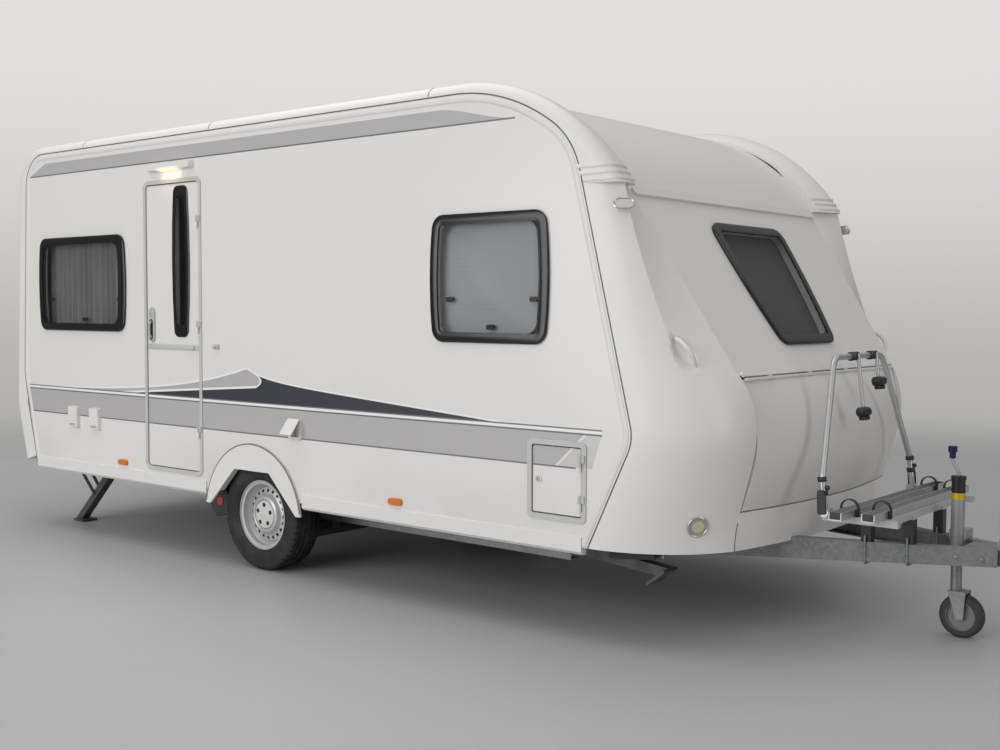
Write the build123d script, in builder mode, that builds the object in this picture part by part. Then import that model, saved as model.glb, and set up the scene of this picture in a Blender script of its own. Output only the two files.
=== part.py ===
"""Touring caravan with one axle, parked on its wheels, jockey wheel and rear corner steadies.

Millimetres. +X points forwards to the coupling, +Y to the left side, +Z up. The origin is on the
ground, in the middle of the overall length and width.
"""

import math
import os

from build123d import *

os.makedirs("parts", exist_ok=True)

# Body: overall sizes
BODY_LENGTH = 5580.0
BODY_WIDTH = 2300.0
DRAWBAR_REACH = 1100.0
RIM_TOP_Z = 2557.0
STRIP_Z = 2035.0
LOCKER_Z = 1204.0
LID_FOOT_Z = 602.0
WALL_FOOT_Z = 430.0
FLOOR_Z = 446.0
SEAM_TOP_Z = 2500.0
FRONT_SLOPE = 32.2
WALL = 34.0
SKIN = 34.0
FLOOR = 44.0
SHELL = 26.0
RUN_GAP = 6.0
SEAT = 0.3

# Raised edge moulding that runs over the roof and down the rear corners
RIM_STAND = 104.0
RIM_BACK = 561.0
RIM_RADIUS = 1095.0
RIM_WIDTH = 220.0
RIM_EDGE = 60.0
RIM_DROP = 45.0
RIM_SKIRT = 165.0
RIM_WALL = 31.0
RIM_WALL_DROP = 145.0
BROW_RADIUS = 1005.0
REAR_TOP_RADIUS = 280.0
REAR_LEAN = 80.0
REAR_TUCK_Z = 815.0
REAR_TUCK = 108.0
REAR_TUCK_RADIUS = 300.0
ROOF_SPLIT_Z = 2240.0
RIM_SPLIT_FROM_REAR = 470.0

# Wheels and axle
AXLE_FROM_REAR = 2572.0
TYRE_RADIUS = 314.0
TYRE_WIDTH = 195.0
RIM_SEAT_RADIUS = 178.0
FLANGE_RADIUS = 197.0
TYRE_INSET = 40.0
VENT_COUNT = 20
VENT_RADIUS = 10.0
VENT_RING = 142.0
ARCH_RADIUS = 410.0
ARCH_TOP_Z = 572.0
ARCH_TOP_HALF = 150.0
ARCH_FOOT_HALF = 372.0
ARCH_FOOT_Z = 355.0
ARCH_PROUD = 14.0

# Doors and windows on the side walls
DOOR_FROM_REAR = 1554.0
DOOR_WIDTH = 566.0
DOOR_HEIGHT = 1750.0
DOOR_FOOT_Z = 496.0
DOOR_CORNER = 46.0
DOOR_FRAME = 24.0
FRAME_PROUD = 6.0
HINGE_STAND = 14.0
HINGE_RADIUS = 8.0
PANE = 8.0
PANE_PROUD = 10.0
PANE_LAP = 26.0
PANE_CORNER = 70.0
PANE_BOW = 20.0
HATCH_WIDTH = 330.0
HATCH_HEIGHT = 365.0
HATCH_FRAME = 25.0
HATCH_CORNER = 30.0

# Chassis and drawbar
RAIL_Y = 760.0
RAIL_HEIGHT = 180.0
RAIL_FLANGE = 60.0
RAIL_BEHIND = 1000.0
RAIL_TAPER = 250.0
RAIL_END = 70.0
STEEL = 6.0
CROSS_WIDTH = 80.0
CROSS_HEIGHT = 100.0
ARM_ANGLE = 19.7
ARM_WIDTH = 50.0
ARM_REAR_HEIGHT = 125.0
ARM_FRONT_HEIGHT = 76.0
ARM_SHORT = 380.0
ARM_NOSE_Y = 85.0
ARM_RUN = 1800.0

# Axle: tube ahead of the wheels, swinging links, stubs and drums
AXLE_AHEAD = 160.0
AXLE_Z = 215.0
AXLE_RADIUS = 45.0
SWING = 26.0
SWING_RADIUS = 60.0
SWING_CLEAR = 8.0
STUB_RADIUS = 15.7
DRUM_RADIUS = 128.0
DRUM_WIDTH = 88.0
HUB_RADIUS = 36.0
HUB_BORE = 6.0
RIM_HALF = 76.0
WELL_RADIUS = 160.0
RIM_STEEL = 5.0
BEAD_HALF = 67.0

# Coupling: overrun housing, tube, bellows and ball head
HOUSING_BACK = 530.0
HOUSING_FRONT = 290.0
HOUSING_HALF = 62.0
LEVER_BACK = 90.0
HITCH_Z = 410.0
TUBE_RADIUS = 27.0
BELLOWS_RADIUS = 44.0
BELLOWS_FOLDS = 6
BELLOWS_LENGTH = 96.0
HEAD_LENGTH = 175.0
HEAD_HALF = 38.0
BALL_BACK = 54.0
BALL_RADIUS = 25.2
BALL_FOOT_Z = 380.0
BALL_DEPTH = 45.0

# Jockey wheel
JOCKEY_BEHIND_TIP = 605.0
JOCKEY_Y = 62.0
JOCKEY_TUBE = 30.0
JOCKEY_BORE = 25.0
JOCKEY_FOOT_Z = 335.0
JOCKEY_TOP_Z = 720.0
JOCKEY_STEM = 24.5
JOCKEY_CROWN_Z = 214.0
JOCKEY_WHEEL_RADIUS = 100.0
JOCKEY_WHEEL_WIDTH = 54.0
JOCKEY_TRAIL = 30.0
JOCKEY_PIN = 8.0

# Corner steadies: leg on a pivot, strut of half the spread on a spindle
LEG_Y = 850.0
LEG_LENGTH = 520.0
LEG_LINK = 230.0
LEG_PIVOT_Z = 372.0
LEG_WIDTH = 56.0
LEG_DEEP = 36.0
LEG_RISE = 12.0
LEG_STEEL = 4.0
LEG_FOLD = 5.5
PAD_TOP_Z = 16.0
PAD = 14.0
PAD_BEHIND = 110.0
PAD_AHEAD = 8.0
PAD_WIDTH = 110.0
PIVOT_PIN = 8.0
STRUT_PIN = 6.0
PIN_GAP = 0.5
SPINDLE_RADIUS = 9.0
SPINDLE_OVER = 46.0
REAR_LEG = 700.0
FRONT_LEG = 990.0

# Cycle carrier on the drawbar
CARRIER_Z = 560.0
CARRIER_TUBE = 30.0
CARRIER_HALF = 470.0
CARRIER_BACK = 1010.0
CARRIER_FRONT = 670.0
CARRIER_RAIL = 58.0
CARRIER_RAIL_HEIGHT = 34.0
STRAP_RADIUS = 42.0
STRAP = 5.0
STRAP_EAR = 13.0
STRAP_WIDTH = 18.0
HOOP_BACK = 986.0
HOOP_PIVOT_Z = 600.0
HOOP_HALF = 508.0
HOOP_TOP_HALF = 271.0
HOOP_TOP_Z = 1285.0
HOOP_KNEE_Z = 745.0
HOOP_LEAN = 6.7
HOOP_TUBE = 14.0
HOOP_PIN = 8.0

# Places of windows, sockets, vents and hatches
STRIP_RUN = 150.0
TRIM_OVER = 30.0
LID_HALF_TOP = 840.0
FRONT_WINDOW_Z = 1609.0
FRONT_WINDOW = (726.0, 686.0, 560.0)
REAR_WINDOW_Z = 1620.0
REAR_WINDOW = (1180.0, 540.0, 1180.0)
SOCKET_AHEAD = 366.0
SOCKET_Z = 830.0
SOCKET_WIDTH = 84.0
SOCKET_HEIGHT = 96.0
VENT_AHEAD = 330.0
HATCH_LAP = 30.0

# Front end
BULGE_Z = 926.0
SMOOTH_CREASE = 2.0
LID_GAP = 8.0
LID_DROP = 18.0
LID_HINGE_BACK = 126.0
LID_HINGE_RADIUS = 7.0
LID_BARREL = 32.0
LID_FOOT_HALF = 783.0
LID_BULGE_HALF = 787.0
LID_TOP_HALF = 828.0
LID_FOOT_BACK = 155.0
LID_BULGE_BACK = 79.0
APRON_FOOT_BACK = 180.0

# Wheel bays in the floor
BAY_HALF = 380.0
BAY_HEIGHT = 270.0
BAY_CLEAR = 30.0
BAY_WALL = 4.0
SILL_PROUD = 8.0

# Inside of the windows
BLIND = 4.0
BLIND_LAP = 6.0
CURTAIN = 30.0
HATCH_BASE = 30.0

# Door furniture
HINGE_LEAF = 22.0
DOOR_PANE_AHEAD = 88.0
DOOR_PANE_Z = 1757.0
DOOR_PANE_WIDTH = 170.0
DOOR_PANE_HEIGHT = 895.0
DOOR_PANE_LAP = 20.0
HANDLE_IN = 50.0
HANDLE_Z = 1382.0
SOCKET_PROUD = 12.0
FLAP = 5.0
FLAP_PIN = 4.0
FLAP_OPEN = 36.0
AWNING_SOCKET_Z = 770.0

# Lamps and fittings
AWNING_LAMP_Z = 2322.0
SIDE_MARKER_Z = 515.0
LAMP_PROUD = 12.0
LAMP_ROOT = 14.0
MARKER_LENGTH = 84.0
MARKER_HEIGHT = 44.0
POSITION_RADIUS = 45.0
GRAB_RADIUS = 10.0
REAR_LAMP_Z = 980.0
BUMPER_UP = 110.0
VENT_WIDTH = 420.0
VENT_HEIGHT = 190.0
VENT_PITCH = 22.0
VENT_SLATS = 7

half_length = (BODY_LENGTH + DRAWBAR_REACH) / 2
x_rear = -half_length
x_nose = x_rear + BODY_LENGTH
x_tip = half_length
side = BODY_WIDTH / 2
inner_side = side - WALL
rim_inner = side - RIM_WIDTH
x_axle = x_rear + AXLE_FROM_REAR
slope = math.radians(FRONT_SLOPE)
skin_z = RIM_TOP_Z - RIM_DROP
tyre_outer = side - TYRE_INSET
wheel_y = tyre_outer - TYRE_WIDTH / 2
bay_inner = tyre_outer - TYRE_WIDTH - BAY_CLEAR
bay_width = inner_side - bay_inner


def save(builder, name):
    """Label a finished piece and write it to its own file."""
    builder.part.label = name
    export_step(builder.part, f"parts/{name}.step")


def inset(points, depth):
    """Open outline moved to the right of its direction, every run staying parallel to itself."""
    runs = [complex(*b) - complex(*a) for a, b in zip(points, points[1:])]
    normals = [-1j * run / abs(run) for run in runs]
    before = [normals[0], *normals]
    after = [*normals, normals[-1]]
    moved = []
    for point, one, two in zip(points, before, after):
        shift = (one + two) / (1 + (one * two.conjugate()).real)
        moved.append((point[0] + depth * shift.real, point[1] + depth * shift.imag))
    return moved


def from_rear(distance):
    return x_rear + distance


def from_nose(distance):
    return x_nose - distance


door_hinge_levels = (DOOR_FOOT_Z + 260.0, DOOR_FOOT_Z + 875.0, DOOR_FOOT_Z + 1490.0)
hatch_hinge_levels = (-90.0, 90.0)
vent_levels = (900.0, 1480.0)
awning_sockets = (from_rear(762), from_rear(1008))

# Roof hatches: x, length, width, height of the dome
roof_hatch_table = (
    (from_rear(1500), 400.0, 400.0, 70.0),
    (from_rear(3500), 700.0, 500.0, 70.0),
)


def wall_plane(sign, depth=0.0):
    """Plane on a side wall's outer face, facing outwards, moved outwards by depth, with y up."""
    return Plane(origin=(0, sign * (side + depth), 0), x_dir=(-sign, 0, 0), z_dir=(0, sign, 0))


def on_wall(sign, x, z):
    """Place on a side wall's plane for a point at x and z."""
    return (-sign * x, z)


# Outline of a side wall: x, z and corner radius, from the rear foot over the roof to the front foot
side_table = (
    (from_rear(280), WALL_FOOT_Z, 0.0),
    (from_rear(135), 1030.0, 500.0),
    (from_rear(202), SEAM_TOP_Z, 210.0),
    (from_nose(1194), SEAM_TOP_Z, 1030.0),
    (from_nose(799), 2243.0, 380.0),
    (from_nose(471), 926.0, 180.0),
    (from_nose(705), WALL_FOOT_Z, 0.0),
)


def side_face(sign):
    """Face of a side wall's outline, drawn for the wall's own plane."""
    with BuildSketch() as outline:
        with BuildLine():
            FilletPolyline(
                *[on_wall(sign, x, z) for x, z, radius in side_table],
                radius=[radius for x, z, radius in side_table],
                close=True,
            )
        make_face()
    return outline.sketch


# Crest line of the edge moulding, front strip to rear foot, and the skin line beneath it
crest_x = from_nose(RIM_BACK)
crest_points = [
    (crest_x + STRIP_RUN * math.sin(slope), STRIP_Z - STRIP_RUN * math.cos(slope)),
    (crest_x - (RIM_TOP_Z - STRIP_Z) * math.tan(slope), RIM_TOP_Z),
    (from_rear(REAR_LEAN), RIM_TOP_Z),
    (x_rear, REAR_TUCK_Z),
    (from_rear(REAR_TUCK), WALL_FOOT_Z),
]
crest_radii = [RIM_RADIUS, REAR_TOP_RADIUS, REAR_TUCK_RADIUS]
strip_x = crest_x - RIM_STAND
skin_points = [
    (strip_x, STRIP_Z),
    (strip_x - (skin_z - STRIP_Z) * math.tan(slope), skin_z),
    *inset(crest_points, -RIM_DROP)[2:],
]
skin_radii = [BROW_RADIUS, REAR_TOP_RADIUS - RIM_DROP, REAR_TUCK_RADIUS - RIM_DROP]
lining_points = inset(skin_points, -SKIN)
lining_radii = [radius - SKIN for radius in skin_radii]

front_plane = Plane(
    (strip_x, 0, STRIP_Z), x_dir=(0, 1, 0), z_dir=(math.cos(slope), 0, math.sin(slope))
)
front_run = (STRIP_Z - LOCKER_Z) / math.cos(slope)
lean = math.atan2(REAR_LEAN, RIM_TOP_Z - REAR_TUCK_Z)
rear_x = skin_points[3][0] + (REAR_WINDOW_Z - skin_points[3][1]) * math.tan(lean)
rear_plane = Plane(
    (rear_x, 0, REAR_WINDOW_Z), x_dir=(0, -1, 0), z_dir=(-math.cos(lean), 0, math.sin(lean))
)


def window_face(width, height, foot_width, margin):
    """Window outline centred on its middle, moved in by margin, with bowed sides and round corners."""
    half, foot, rise = width / 2 - margin, foot_width / 2 - margin, height / 2 - margin
    middle = (half + foot) / 2 + PANE_BOW
    with BuildSketch() as outline:
        with BuildLine():
            Line((-foot, -rise), (foot, -rise))
            ThreePointArc((foot, -rise), (middle, 0), (half, rise))
            Line((half, rise), (-half, rise))
            ThreePointArc((-half, rise), (-middle, 0), (-foot, -rise))
        make_face()
        fillet(outline.vertices(), PANE_CORNER - margin)
    return outline.sketch


# Windows of each side wall: x, z, width, height
side_windows = (
    (from_rear(862), 1636.0, 960.0, 607.0),
    (from_nose(1283), 1630.0, 684.0, 610.0),
)
front_window_along = -(STRIP_Z - FRONT_WINDOW_Z) / math.cos(slope)

# Every window: plane on the wall's face, place on it, width, height, width at the foot
windows = [
    (wall_plane(sign), on_wall(sign, x, z), width, height, width)
    for sign in (-1, 1)
    for x, z, width, height in side_windows
]
windows.append((front_plane, (0, front_window_along), *FRONT_WINDOW))
windows.append((rear_plane, (0, 0), *REAR_WINDOW))
CURTAINED = 0

# Hinged service doors in the side walls: side, x and z of the middle
hatches = (
    (-1, from_nose(878), 717.0),
    (1, from_rear(1650), 730.0),
)
door_x = from_rear(DOOR_FROM_REAR) + DOOR_WIDTH / 2
door_z = DOOR_FOOT_Z + DOOR_HEIGHT / 2
leaf_width = DOOR_WIDTH - 2 * (DOOR_FRAME + RUN_GAP)
leaf_height = DOOR_HEIGHT - 2 * (DOOR_FRAME + RUN_GAP)
socket_x = x_axle + SOCKET_AHEAD
vent_x = x_axle + VENT_AHEAD


def arch_points(sign, margin):
    """Opening over a wheel, made wider by margin, on a side wall's plane."""
    top, foot = ARCH_TOP_HALF + margin / 2, ARCH_FOOT_HALF + margin
    rise = ARCH_TOP_Z + margin
    corners = ((-foot, ARCH_FOOT_Z), (-top, rise), (top, rise), (foot, ARCH_FOOT_Z))
    return [on_wall(sign, x_axle + x, z) for x, z in corners]


# Side walls: sandwich panels with windows, doors and wheel arch cut through
for sign, name in ((-1, "side_wall_right"), (1, "side_wall_left")):
    outline = side_face(sign)
    holes = [window_face(width, height, width, PANE_LAP) for x, z, width, height in side_windows]
    with BuildPart() as wall:
        with BuildSketch(wall_plane(sign)):
            add(outline)
        extrude(amount=-WALL)
        with BuildSketch(wall_plane(sign)):
            for (x, z, width, height), hole in zip(side_windows, holes):
                with Locations(on_wall(sign, x, z)):
                    add(hole)
            with BuildLine():
                Polyline(*arch_points(sign, RUN_GAP), close=True)
            make_face()
            for hatch_sign, x, z in hatches:
                if hatch_sign == sign:
                    with Locations(on_wall(sign, x, z)):
                        RectangleRounded(HATCH_WIDTH, HATCH_HEIGHT, HATCH_CORNER)
            if sign < 0:
                with Locations(on_wall(sign, door_x, door_z)):
                    RectangleRounded(DOOR_WIDTH, DOOR_HEIGHT, DOOR_CORNER)
                with Locations(on_wall(sign, socket_x, SOCKET_Z)):
                    Rectangle(SOCKET_WIDTH, SOCKET_HEIGHT)
        extrude(amount=-WALL, mode=Mode.SUBTRACT)
    save(wall, name)

# Solid body of each side, wall outline drawn through, to trim the mouldings around it
trims = {}
for sign in (-1, 1):
    outline = side_face(sign)
    with BuildPart() as trim:
        with BuildSketch(wall_plane(sign, TRIM_OVER)):
            add(outline)
        extrude(amount=-(WALL + TRIM_OVER + RIM_WIDTH))
    trims[sign] = trim.part

# Edge mouldings: one raised section swept over the roof edge and down the rear corner
with BuildLine(Plane.XZ) as crest_line:
    FilletPolyline(*crest_points, radius=crest_radii)
crest_wire = crest_line.wires()[0]
mouldings = {}
for sign in (-1, 1):
    edge, crest, inner = sign * side, sign * (side - RIM_EDGE), sign * rim_inner
    web = sign * (rim_inner + RIM_WALL)
    lap = sign * (side - RIM_WALL)
    start = Plane(crest_wire @ 0, x_dir=(0, 1, 0), z_dir=crest_wire % 0)
    with BuildPart() as moulding:
        with BuildSketch(start):
            with BuildLine():
                Line((edge, RIM_SKIRT), (edge, RIM_EDGE))
                TangentArc((edge, RIM_EDGE), (crest, 0), tangent=(0, -1))
                TangentArc((crest, 0), (inner, RIM_DROP), tangent=(-sign, 0))
                Polyline(
                    (inner, RIM_DROP), (inner, RIM_WALL_DROP), (web, RIM_WALL_DROP),
                    (web, RIM_DROP + SKIN), (lap, RIM_DROP + SKIN), (lap, RIM_SKIRT), (edge, RIM_SKIRT),
                )
            make_face()
        sweep(path=crest_wire)
        add(trims[sign], mode=Mode.SUBTRACT)
        split(bisect_by=Plane.XY.offset(WALL_FOOT_Z), keep=Keep.TOP)
    mouldings[sign] = moulding.part

rim_split = Plane.YZ.offset(from_rear(RIM_SPLIT_FROM_REAR))
with BuildPart() as roof_edge_mouldings:
    for sign in (-1, 1):
        add(mouldings[sign])
    split(bisect_by=rim_split, keep=Keep.TOP)
    split(bisect_by=Plane.XY.offset(STRIP_Z), keep=Keep.TOP)
save(roof_edge_mouldings, "roof_edge_mouldings")

with BuildPart() as rear_corner_mouldings:
    for sign in (-1, 1):
        add(mouldings[sign])
    split(bisect_by=rim_split, keep=Keep.BOTTOM)
save(rear_corner_mouldings, "rear_corner_mouldings")

# Roof and rear wall: one folded skin line, parted behind the roof's rear corner
with BuildPart() as shell:
    with BuildSketch(Plane.XZ):
        with BuildLine():
            outer = FilletPolyline(*skin_points, radius=skin_radii)
            lining = FilletPolyline(*lining_points, radius=lining_radii)
            Line(outer @ 0, lining @ 0)
            Line(outer @ 1, lining @ 1)
        make_face()
    extrude(amount=rim_inner, both=True)
    split(bisect_by=Plane.XY.offset(WALL_FOOT_Z), keep=Keep.TOP)

with BuildPart() as roof_panel:
    add(shell.part)
    with Locations((x_rear, 0, ROOF_SPLIT_Z)):
        Box(
            BODY_LENGTH, BODY_WIDTH, ROOF_SPLIT_Z, align=(Align.CENTER, Align.CENTER, Align.MAX),
            mode=Mode.SUBTRACT,
        )
    for x, length, width, height in roof_hatch_table:
        with Locations((x, 0, skin_z)):
            Box(length - 2 * HATCH_LAP, width - 2 * HATCH_LAP, 4 * SKIN, mode=Mode.SUBTRACT)
save(roof_panel, "roof_panel")

rear_hole = window_face(*REAR_WINDOW, PANE_LAP)
with BuildPart() as rear_wall:
    add(shell.part)
    split(bisect_by=Plane.XY.offset(ROOF_SPLIT_Z), keep=Keep.BOTTOM)
    split(bisect_by=Plane.YZ.offset(0), keep=Keep.BOTTOM)
    with BuildSketch(rear_plane.offset(SKIN)):
        add(rear_hole)
    extrude(amount=-3 * SKIN, mode=Mode.SUBTRACT)
save(rear_wall, "rear_wall")

# Front wall: flat raked panel between brow strip and locker, with the front window cut through
front_hole = window_face(*FRONT_WINDOW, PANE_LAP)
with BuildPart() as front_wall:
    with BuildSketch(front_plane):
        with BuildLine():
            Polyline(
                (-rim_inner, 0), (rim_inner, 0), (LID_HALF_TOP, -front_run), (-LID_HALF_TOP, -front_run),
                close=True,
            )
        make_face()
    extrude(amount=-SKIN)
    with BuildSketch(front_plane):
        with Locations((0, front_window_along)):
            add(front_hole)
    extrude(amount=-SKIN, mode=Mode.SUBTRACT)
save(front_wall, "front_wall")

# Front corner mouldings: height, seam behind the nose, ridge height over the plain corner arc,
# inner edge behind the nose, inner edge from the middle
corner_table = (
    (WALL_FOOT_Z, 720.0, 1.5, APRON_FOOT_BACK, LID_FOOT_HALF),
    (LID_FOOT_Z, 640.0, 1.5, LID_FOOT_BACK, LID_FOOT_HALF),
    (BULGE_Z, 492.0, 1.5, LID_BULGE_BACK, LID_BULGE_HALF),
    (LOCKER_Z, 553.0, 1.5, 142.0, 830.0),
    (1612.0, 656.0, 18.0, 399.0, 876.0),
    (STRIP_Z, 762.0, 58.0, 665.0, 920.0),
)
with BuildPart() as front_corner_mouldings:
    for z, seam_back, crease, inner_back, inner_y in corner_table:
        seam, inner = (from_nose(seam_back), -side), (from_nose(inner_back), -inner_y)
        with BuildSketch(Plane.XY.offset(z)):
            with BuildLine():
                plain = TangentArc(seam, inner, tangent=(1, 0), mode=Mode.PRIVATE)
                along = plain % 0.5
                ridge = plain @ 0.5 + Vector(along.Y, -along.X) * crease
                turn = TangentArc(seam, ridge, tangent=(1, 0))
                if crease > SMOOTH_CREASE:
                    Line(ridge, inner)
                else:
                    TangentArc(ridge, inner, tangent=turn % 1)
                ridge_in = ridge - Vector(along.Y, -along.X) * SHELL
                inner_in = (inner[0] - SHELL, inner[1])
                Polyline(inner, inner_in, (ridge_in.X, ridge_in.Y), (seam[0], seam[1] + SHELL), seam)
            make_face()
    loft()
    add(trims[-1], mode=Mode.SUBTRACT)
    add(front_wall.part, mode=Mode.SUBTRACT)
    add(roof_panel.part, mode=Mode.SUBTRACT)
    mirror(about=Plane.XZ)
save(front_corner_mouldings, "front_corner_mouldings")


def bowed_section(z, back, half, bow, depth):
    """Level section of the front: an outer arc bowed forwards and a lining arc behind it."""
    x = from_nose(back)
    with BuildSketch(Plane.XY.offset(z)) as section:
        with BuildLine():
            ThreePointArc((x, -half), (x + bow, 0), (x, half))
            Line((x, half), (x - depth, half))
            ThreePointArc((x - depth, half), (x - depth + bow, 0), (x - depth, -half))
            Line((x - depth, -half), (x, -half))
        make_face()
    return section.sketch


# Locker lid with hinge barrels at its top edge: height, edge behind the nose, half width, bow
lid_top_z = LOCKER_Z - LID_DROP
lid_hinge_x = from_nose(LID_HINGE_BACK)
lid_hinges = (-600.0, -200.0, 200.0, 600.0)
lid_table = (
    (LID_FOOT_Z + RUN_GAP, LID_FOOT_BACK - 1.0, LID_FOOT_HALF - LID_GAP, 84.0),
    (BULGE_Z, LID_BULGE_BACK, LID_BULGE_HALF - LID_GAP, LID_BULGE_BACK),
    (lid_top_z, LID_HINGE_BACK + 10.0, LID_TOP_HALF - LID_GAP, 8.0),
)
lid_sections = [bowed_section(z, back, half, bow, SHELL) for z, back, half, bow in lid_table]
with BuildPart() as locker_lid:
    loft(lid_sections)
    for y in lid_hinges:
        with Locations(Location((lid_hinge_x, y - LID_BARREL / 2 - SEAT, lid_top_z), (90, 0, 0))):
            Cylinder(LID_HINGE_RADIUS, LID_BARREL)
        with Locations((lid_hinge_x, y - LID_BARREL / 2 - SEAT, lid_top_z)):
            Box(
                2 * LID_HINGE_RADIUS, LID_BARREL, LID_HINGE_RADIUS,
                align=(Align.MAX, Align.CENTER, Align.MAX),
            )
        with Locations(Location((lid_hinge_x, y + LID_BARREL / 2 + SEAT, lid_top_z), (90, 0, 0))):
            Cylinder(LID_HINGE_RADIUS + RUN_GAP / 2, LID_BARREL + 2 * SEAT, mode=Mode.SUBTRACT)
save(locker_lid, "locker_lid")

# Trim strips across the front: brow strip and locker hinge strip
with BuildPart() as front_trims:
    for along, half, height, proud in (
        (0.0, rim_inner - 20.0, 46.0, 14.0),
        (-front_run + 14.0, LID_HALF_TOP - 20.0, 26.0, 14.0),
    ):
        with BuildSketch(front_plane):
            with Locations((0, along - height / 2)):
                SlotOverall(2 * half, height)
        extrude(amount=proud)
    for y in lid_hinges:
        with Locations(Location((lid_hinge_x, y + LID_BARREL / 2 + SEAT, lid_top_z), (90, 0, 0))):
            Cylinder(LID_HINGE_RADIUS, LID_BARREL)
        with Locations((lid_hinge_x, y + LID_BARREL / 2 + SEAT, lid_top_z)):
            Box(2 * LID_HINGE_RADIUS, LID_BARREL, LID_DROP, align=(Align.CENTER, Align.CENTER, Align.MIN))
save(front_trims, "front_trims")

# Floor panel with a wheel box over each wheel bay
with BuildPart() as floor_panel:
    with BuildSketch(Plane.XY.offset(FLOOR_Z)):
        with BuildLine():
            Polyline(
                (from_rear(300), -inner_side), (from_nose(740), -inner_side), (from_nose(300), -760.0),
                (from_nose(300), 760.0), (from_nose(740), inner_side), (from_rear(300), inner_side),
                (from_rear(300), 905.0), (from_rear(192), 905.0), (from_rear(192), -905.0),
                (from_rear(300), -905.0), close=True,
            )
        make_face()
        with Locations((x_axle, bay_inner + bay_width / 2), (x_axle, -bay_inner - bay_width / 2)):
            Rectangle(2 * BAY_HALF, bay_width, mode=Mode.SUBTRACT)
    extrude(amount=FLOOR)
    for sign in (-1, 1):
        with Locations((x_axle, sign * (bay_inner + bay_width / 2), FLOOR_Z)):
            Box(2 * BAY_HALF, bay_width, BAY_HEIGHT, align=(Align.CENTER, Align.CENTER, Align.MIN))
        with Locations((x_axle, sign * (bay_inner + BAY_WALL + bay_width / 2), FLOOR_Z)):
            Box(
                2 * (BAY_HALF - BAY_WALL), bay_width, BAY_HEIGHT - BAY_WALL,
                align=(Align.CENTER, Align.CENTER, Align.MIN), mode=Mode.SUBTRACT,
            )
save(floor_panel, "floor_panel")

# Side skirts: sill profiles before and behind the wheels, and wheel arch trims that are round outside
# with a flat-topped opening; start and end of each sill
sill_runs = ((from_rear(300), x_axle - ARCH_RADIUS - 8.0), (x_axle + ARCH_RADIUS + 8.0, from_nose(735)))
with BuildPart() as side_skirts:
    for sign in (-1, 1):
        for start, end in sill_runs:
            with BuildSketch(Plane.YZ.offset(start)):
                with BuildLine():
                    Polyline(
                        *[
                            (sign * y, z)
                            for y, z in (
                                (side, WALL_FOOT_Z + 50.0), (side + SILL_PROUD, WALL_FOOT_Z + 46.0),
                                (side + SILL_PROUD, WALL_FOOT_Z - 20.0), (side - 6.0, WALL_FOOT_Z - 34.0),
                                (inner_side, WALL_FOOT_Z - 34.0), (inner_side, WALL_FOOT_Z),
                                (side, WALL_FOOT_Z),
                            )
                        ],
                        close=True,
                    )
                make_face()
            extrude(amount=end - start)
    for sign in (-1, 1):
        with BuildSketch(wall_plane(sign)):
            with Locations(on_wall(sign, x_axle, TYRE_RADIUS)):
                Circle(ARCH_RADIUS)
            with Locations(on_wall(sign, x_axle, ARCH_FOOT_Z)):
                Rectangle(
                    2 * ARCH_RADIUS, 2 * ARCH_RADIUS, align=(Align.CENTER, Align.MAX), mode=Mode.SUBTRACT
                )
            with BuildLine():
                Polyline(*arch_points(sign, 0.0), close=True)
            make_face(mode=Mode.SUBTRACT)
        extrude(amount=ARCH_PROUD)
save(side_skirts, "side_skirts")

# Windows: frame ring on the wall, acrylic pane on the frame, blind or curtain on the inside
frame_rings = [
    (window_face(width, height, foot, 4.0), window_face(width, height, foot, PANE_LAP))
    for plane, place, width, height, foot in windows
]
pane_faces = [window_face(width, height, foot, 0.0) for plane, place, width, height, foot in windows]
blind_faces = [window_face(width, height, foot, BLIND_LAP) for plane, place, width, height, foot in windows]
with BuildPart() as window_frames:
    for (plane, place, *size), (ring, hole) in zip(windows, frame_rings):
        with BuildSketch(plane):
            with Locations(place):
                add(ring)
                add(hole, mode=Mode.SUBTRACT)
        extrude(amount=PANE_PROUD)
save(window_frames, "window_frames")

with BuildPart() as window_panes:
    for (plane, place, *size), face in zip(windows, pane_faces):
        with BuildSketch(plane.offset(PANE_PROUD)):
            with Locations(place):
                add(face)
        extrude(amount=PANE)
save(window_panes, "window_panes")

with BuildPart() as window_blinds:
    for index, ((plane, place, *size), face) in enumerate(zip(windows, blind_faces)):
        if index != CURTAINED:
            with BuildSketch(plane.offset(-WALL)):
                with Locations(place):
                    add(face)
            extrude(amount=-BLIND)
save(window_blinds, "window_blinds")

with BuildPart() as rear_side_curtain:
    plane, place, *size = windows[CURTAINED]
    with BuildSketch(plane.offset(-WALL - SEAT)):
        with Locations(place):
            Rectangle(size[0], size[1] + 2 * BLIND_LAP)
    extrude(amount=-CURTAIN)
save(rear_side_curtain, "rear_side_curtain")

# Roof hatches: low frame with a domed acrylic lid
with BuildPart() as roof_hatches:
    for x, length, width, height in roof_hatch_table:
        with BuildSketch(Plane.XY.offset(skin_z)) as base:
            with Locations((x, 0)):
                RectangleRounded(length, width, 40.0)
        extrude(amount=HATCH_BASE)
        with BuildSketch(Plane.XY.offset(skin_z + HATCH_BASE)):
            with Locations((x, 0)):
                RectangleRounded(length - 20.0, width - 20.0, 40.0)
        extrude(amount=height - HATCH_BASE, taper=38.0)
save(roof_hatches, "roof_hatches")

# Entrance door: leaf on knuckle hinges at its front edge
hinge_y = -(side + HINGE_STAND)
hinge_x = door_x + leaf_width / 2 + RUN_GAP / 2
KNUCKLE = 34.0


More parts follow.
